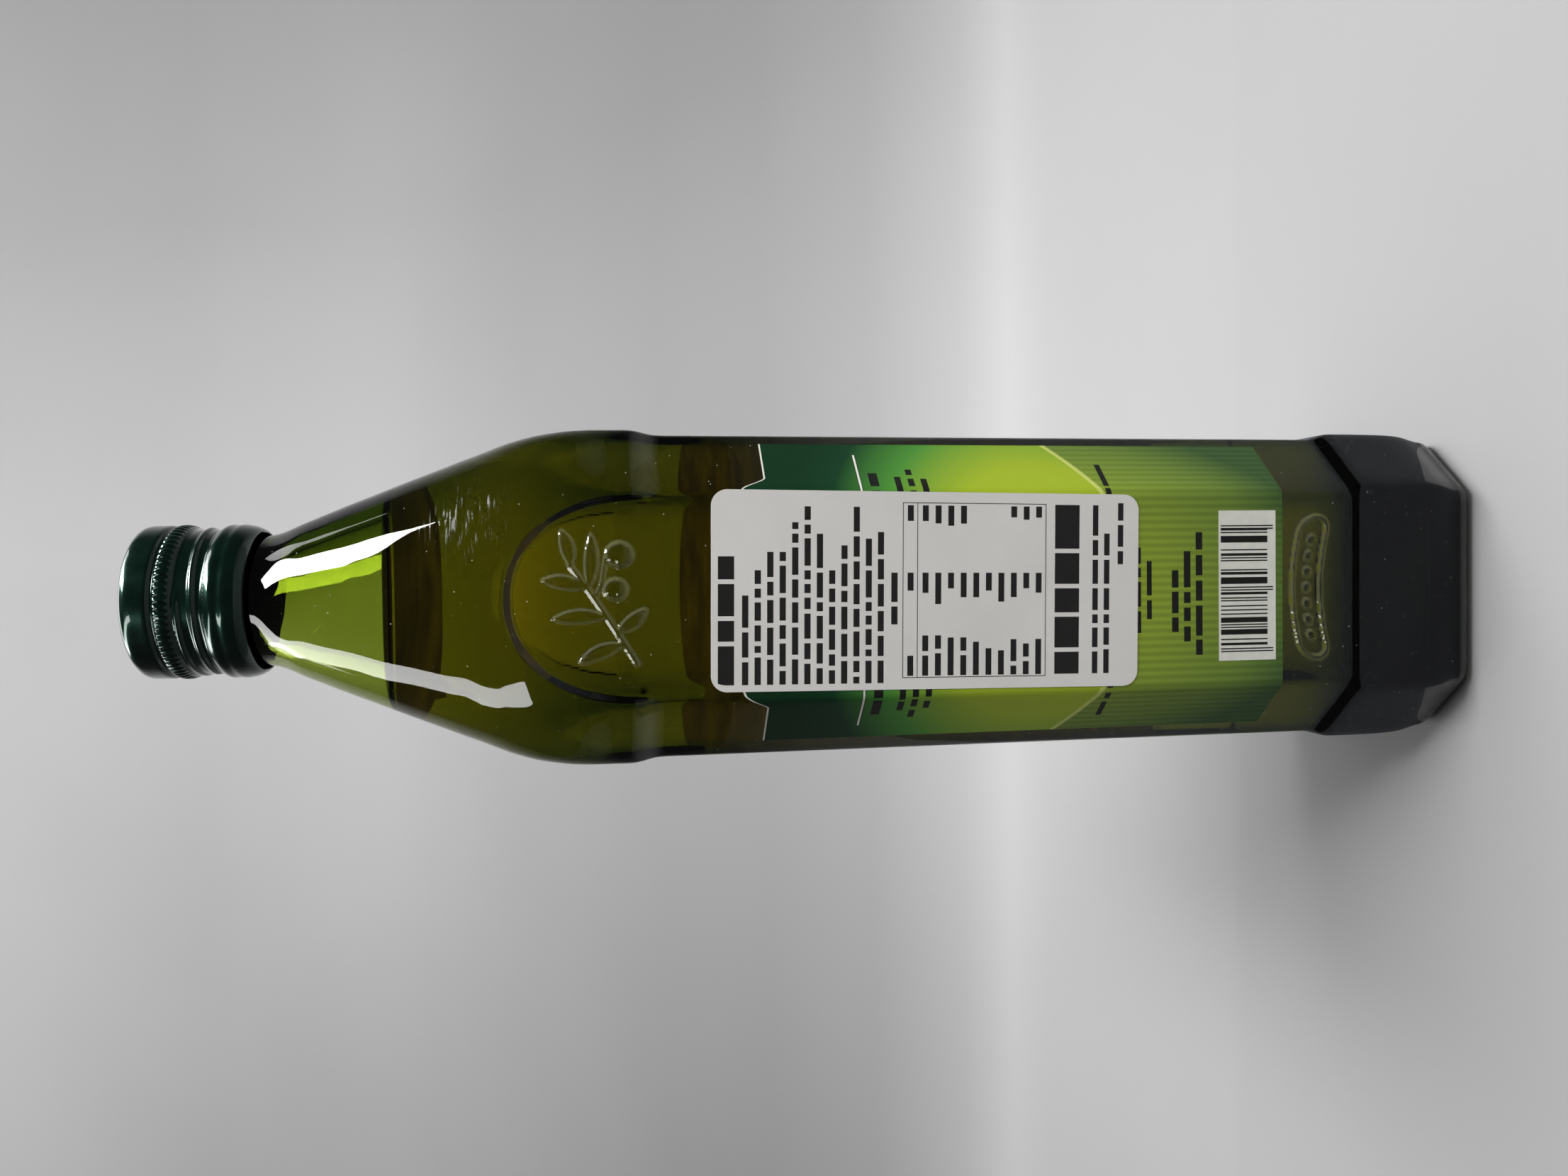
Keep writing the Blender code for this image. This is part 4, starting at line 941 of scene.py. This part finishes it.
def build_sticker(settings):
    """The white sticker: rows of plain bars, a ruled table and one bold row, on a lattice of cells. Its
    corners are round because the last few millimetres of each row shrink with the height."""
    draw = np.random.default_rng(settings.seed + 2)
    width, tall = STICKER
    middle_x, middle_z = STICKER_PLACE
    # A row is its foot, height, left and right end, and the shortest and longest of its bars.
    plain, bold = (1.5, 5.5), (2.5, 8.5)
    rows = [(164.4, 3.2, 1.3, 26.4, bold)]
    rows += [(161.6 - 2.48 * i, 1.25, 1.4, end, plain) for i, end in enumerate(
        (19.1, 23.8, 27.5, 27.4, 33.6, 36.5, 31.2, 24.0, 28.8, 36.4, 30.3, 31.6))]
    rows += [(131.5, 1.3, 13.0, 23.4, plain), (93.0, 5.3, 2.6, 37.4, bold), (88.9, 1.2, 2.6, 37.4, plain),
             (86.4, 1.2, 2.8, 31.8, plain), (83.4, 1.2, 25.4, 37.8, plain)]
    # The table: the width of its lines, its outline, the line under its header, and the feet of its rows.
    hair = 0.16
    left, right, low, high, header = 2.3, 37.4 + hair, 100.2, 130.3 + hair, 127.3
    feet = [128.2] + [125.1 - 2.66 * i for i in range(10)]
    turns = np.radians(np.linspace(8.0, 90.0, 8))
    corner = tall / 2.0 - STICKER_CORNER * (1.0 - np.cos(turns))
    xs = breaks(np.linspace(0.0, width, round(width / LATTICE) + 1), (left, left + hair, right - hair, right))
    zs = breaks(np.linspace(middle_z - tall / 2.0, middle_z + tall / 2.0, 30), row_edges(rows),
                row_edges([(z, 1.25) for z in feet]), middle_z - corner, middle_z + corner,
                row_edges([(z, hair) for z in (low, high - hair, header)]))
    page = blank_page(xs, zs)
    for *row, lengths in rows:
        paint_words(page, draw, row, 1, *lengths)
    paint_box(page, left, right, low, high, hair, 1)
    paint(page, left, right, header, header + hair, 1)
    for i, z in enumerate(feet):
        paint_words(page, draw, (z, 1.25, 2.9, draw.uniform(6.5, 14.0)), 1)
        paint(page, 23.6 - draw.uniform(3.0, 6.5), 23.6, z, z + 1.25, 1)
        if not 5 <= i <= 7:
            paint(page, 36.8 - draw.uniform(1.8, 4.0), 36.8, z, z + 1.25, 1)
    a, b = np.meshgrid(xs - width / 2.0, zs - middle_z)
    flat = width / 2.0 - STICKER_CORNER
    over = np.clip(np.abs(b) - (tall / 2.0 - STICKER_CORNER), 0.0, STICKER_CORNER)
    round_half = np.sqrt(np.maximum(STICKER_CORNER ** 2 - over ** 2, 0.04)) / STICKER_CORNER
    a = np.where(np.abs(a) > flat, np.sign(a) * (flat + (np.abs(a) - flat) * round_half), a)
    c, s = math.cos(math.radians(STICKER_LEAN)), math.sin(math.radians(STICKER_LEAN))
    x, z = middle_x + a * c + b * s, middle_z - a * s + b * c
    grids = [np.stack([x, np.full_like(x, -PANEL_HALF - d), z], axis=2) for d in STICKER_FACES]
    paper, tree = printed("sticker_coated_paper", 0.5)
    mottle(tree, tuple(settings.paper), 0.96, 1.03, in_Scale=60.0, in_Detail=5.0)
    add_sheet("sticker", grids, a, b + PRINT_SPAN / 2.0, page[2],
              [paper, flat_ink("sticker_black_print", "262524"), paper_edge("sticker_cut_edge", "e4e2dd")],
              edge=2)


def build_sweep(settings):
    """A pale floor that bends up into a backdrop: a line that turns upwards in two soft bends, drawn out
    sideways."""
    run = np.linspace(0.0, 2.4, 161)
    turn = np.radians(38.0) * ease(run, 0.86, 1.02) + np.radians(50.0) * ease(run, 1.36, 1.7)
    y = -0.7 + np.concatenate([[0.0], np.cumsum(np.cos(turn[1:]) * np.diff(run))])
    z = np.concatenate([[0.0], np.cumsum(np.sin(turn[1:]) * np.diff(run))])
    across = np.linspace(-1.6, 1.6, 9)
    grid = np.stack(np.broadcast_arrays(across[None, :], y[:, None], z[:, None]), axis=2)
    mesh = bpy.data.meshes.new("sweep")
    mesh.from_pydata(grid.reshape(-1, 3).tolist(), [], grid_faces(161, 9, closed=False).tolist())
    mesh.shade_smooth()
    # Paper, matt and a little uneven. A painted grade of light and shade by the distance along y and z makes
    # it darker over the bend. It is also darker towards its right side.
    material, tree = new_material("painted_paper_sweep", Roughness=0.6)
    place = add(tree, "TexCoord", out="Object")
    cloud = add(tree, "TexNoise", in_Vector=place, in_Scale=5.0, in_Detail=3.0)
    tone = add(tree, "MapRange", cloud, 0.3, 0.7, 1.46, 1.54)
    split = add(tree, "SeparateXYZ", place).node
    back = add(tree, "Math", split.outputs[1], split.outputs[2], operation="ADD")
    # Painted light and shade: the grey of the sweep at each distance along y and z.
    painted_light_greys = ((-0.3, 0.57), (-0.06, 0.57), (0.1, 0.667), (0.2, 0.713), (0.235, 0.78), (0.28, 0.62),
             (0.36, 0.48), (0.47, 0.43), (0.6, 0.45), (0.8, 0.55), (1.0, 0.68), (1.14, 0.827), (1.22, 0.933),
             (1.4, 0.98))
    painted_light_grade = add(tree, "ValToRGB", add(tree, "MapRange", back, -0.3, 1.4),
                 stops=[((at + 0.3) / 1.7, (grey,) * 3) for at, grey in painted_light_greys])
    side = add(tree, "MapRange", split.outputs[0], 0.02, 0.3, 1.0, 0.78)
    value = add(tree, "Math", painted_light_grade, tone, operation="MULTIPLY")
    value = add(tree, "Math", value, side, operation="MULTIPLY")
    add(tree, "HueSaturation", in_Value=value, in_Color=tuple(settings.sweep), to="Base Color")
    mesh.materials.append(material)
    link("sweep", mesh)


def build_lights(settings):
    """Two strip lights overhead, which make the streaks on the glass, a wash over the backdrop and a soft
    light in front on the right."""
    # Each has a place, a size, and how far it leans back and turns, in degrees.
    for name, power, place, size, lean, turn in (
            ("key_strip", settings.key, (0.21, -0.12, 0.75), (0.15, 0.44), 0.0, 0.0),
            ("fill_strip", settings.fill, (-0.353, -0.42, 0.75), (0.156, 1.04), 0.0, 0.0),
            ("backdrop_wash", settings.wash, (0.0, 0.3, 1.25), (1.6, 0.6), 30.0, 0.0),
            ("front_wash", settings.front, (0.55, -0.5, 0.5), (0.5, 0.5), 63.0, 48.0)):
        lamp = bpy.data.lights.new(name, "AREA")
        lamp.shape, lamp.size, lamp.size_y, lamp.energy = "RECTANGLE", *size, power
        light = link(name, lamp)
        light.location = place
        light.rotation_euler = (math.radians(lean), 0.0, math.radians(turn))
        # The left strip doesn't light matt surfaces, and the front wash shows in no reflection.
        light.visible_diffuse = name != "fill_strip"
        light.visible_glossy = light.visible_transmission = name != "front_wash"
    world = bpy.data.worlds.new("room")
    world.use_nodes = True
    sky = world.node_tree.nodes["Background"].inputs
    sky["Color"].default_value = (1.0, 1.0, 1.0, 1.0)
    sky["Strength"].default_value = settings.air
    bpy.context.scene.world = world
    bpy.context.scene.view_settings.view_transform = "Standard"


def build_card():
    """A dark card on the floor that only reflections see, so that the foot doesn't mirror the pale floor: a
    sheet of painted shade that stands in for shade on the floor in front of the bottle. It has a cut for the
    bottle's foot."""
    mesh = bpy.data.meshes.new("dark_card")
    front, back, wide, foot = -0.5, 0.06, 0.8, 0.0345
    corners = ((-wide, front), (wide, front), (wide, back), (foot, back), (foot, -foot), (-foot, -foot),
               (-foot, back), (-wide, back))
    mesh.from_pydata([(x, y, MM) for x, y in corners], [], [(0, 5, 6, 7), (0, 1, 4, 5), (1, 2, 3, 4)])
    # Painted shade: dark and matt, with no shine at all, and a fine fuzz.
    material, tree = new_material("painted_shade_card_matt", Base_Color=linear("616367"), Roughness=0.9)
    fuzz = add(tree, "TexNoise", in_Vector=add(tree, "TexCoord", out="Object"), in_Scale=400.0)
    add(tree, "Bump", in_Strength=0.2, in_Distance=0.2 * MM, in_Height=fuzz, to="Normal")
    mesh.materials.append(material)
    card = link("dark_card", mesh)
    for ray in ("camera", "diffuse", "transmission", "volume_scatter", "shadow"):
        setattr(card, "visible_" + ray, False)


def build_camera(settings):
    """The camera in front of the bottle, a little over its middle, turned on its side as the picture is."""
    place = Vector((6.03, -237.67, 186.4)) * MM
    yaw, pitch, roll = (math.radians(v) for v in (1.228, 8.873, 0.913))
    ahead = Vector((-math.sin(yaw) * math.cos(pitch), math.cos(yaw) * math.cos(pitch), -math.sin(pitch)))
    low = Vector((-math.cos(yaw), -math.sin(yaw), 0.0))
    right = low.cross(ahead)
    right, low = right * math.cos(roll) + low * math.sin(roll), low * math.cos(roll) - right * math.sin(roll)
    data = bpy.data.cameras.new("camera")
    data.lens, data.sensor_width, data.clip_start = settings.lens, 36.0, 0.01
    camera = link("camera", data)
    camera.matrix_world = Matrix.Translation(place) @ Matrix((right, -low, -ahead)).transposed().to_4x4()
    bpy.context.scene.camera = camera
    # Light meets up to six faces of glass and oil on its way in and as many on its way out.
    bpy.context.scene.cycles.max_bounces = 24
    bpy.context.scene.cycles.transmission_bounces = 24


class BOTTLE_OT_glass(bpy.types.Operator):
    """Blow the bottle with its pressed arch, twig and banner."""
    bl_idname = "bottle.glass"
    bl_label = "Glass"

    def execute(self, context):
        build_glass(context.scene.bottle_glass, context.scene.bottle_oil.level / MM)
        return {"FINISHED"}


class BOTTLE_OT_oil(bpy.types.Operator):
    """Fill the bottle with oil."""
    bl_idname = "bottle.oil"
    bl_label = "Oil"

    def execute(self, context):
        build_oil(context.scene.bottle_oil, context.scene.bottle_glass.wall)
        return {"FINISHED"}


class BOTTLE_OT_cap(bpy.types.Operator):
    """Turn the screw cap."""
    bl_idname = "bottle.cap"
    bl_label = "Cap"

    def execute(self, context):
        build_cap(context.scene.bottle_cap)
        return {"FINISHED"}


class BOTTLE_OT_labels(bpy.types.Operator):
    """Wrap the labels round the panel and the far shoulder."""
    bl_idname = "bottle.labels"
    bl_label = "Labels"

    def execute(self, context):
        build_back_label(context.scene.bottle_print)
        build_front_label(context.scene.bottle_print)
        build_shoulder_label(context.scene.bottle_print)
        return {"FINISHED"}


class BOTTLE_OT_sticker(bpy.types.Operator):
    """Put the sticker over the back label."""
    bl_idname = "bottle.sticker"
    bl_label = "Sticker"

    def execute(self, context):
        build_sticker(context.scene.bottle_print)
        return {"FINISHED"}


class BOTTLE_OT_studio(bpy.types.Operator):
    """Set up the floor, the lights and the camera."""
    bl_idname = "bottle.studio"
    bl_label = "Studio"

    def execute(self, context):
        build_sweep(context.scene.bottle_studio)
        build_lights(context.scene.bottle_studio)
        build_card()
        build_camera(context.scene.bottle_studio)
        return {"FINISHED"}


GROUPS = {"bottle_glass": GlassSettings, "bottle_oil": OilSettings, "bottle_cap": CapSettings,
          "bottle_print": PrintSettings, "bottle_studio": StudioSettings}
STEPS = (BOTTLE_OT_glass, BOTTLE_OT_oil, BOTTLE_OT_cap, BOTTLE_OT_labels, BOTTLE_OT_sticker, BOTTLE_OT_studio)


class BOTTLE_PT_panel(bpy.types.Panel):
    """Lists the steps and their settings."""
    bl_label = "Olive oil bottle"
    bl_idname = "BOTTLE_PT_panel"
    bl_space_type = "VIEW_3D"
    bl_region_type = "UI"
    bl_category = "Bottle"

    def draw(self, context):
        for step in STEPS:
            self.layout.operator(step.bl_idname)
        for name, group in GROUPS.items():
            box = self.layout.box()
            for prop in group.__annotations__:
                box.prop(getattr(context.scene, name), prop)


def register():
    for name, group in GROUPS.items():
        bpy.utils.register_class(group)
        setattr(bpy.types.Scene, name, PointerProperty(type=group))
    for step in (*STEPS, BOTTLE_PT_panel):
        bpy.utils.register_class(step)


def unregister():
    for step in (BOTTLE_PT_panel, *reversed(STEPS)):
        bpy.utils.unregister_class(step)
    for name, group in reversed(GROUPS.items()):
        delattr(bpy.types.Scene, name)
        bpy.utils.unregister_class(group)


def main():
    register()
    for step in STEPS:
        group, name = step.bl_idname.split(".")
        getattr(getattr(bpy.ops, group), name)()


if __name__ == "__main__":
    main()
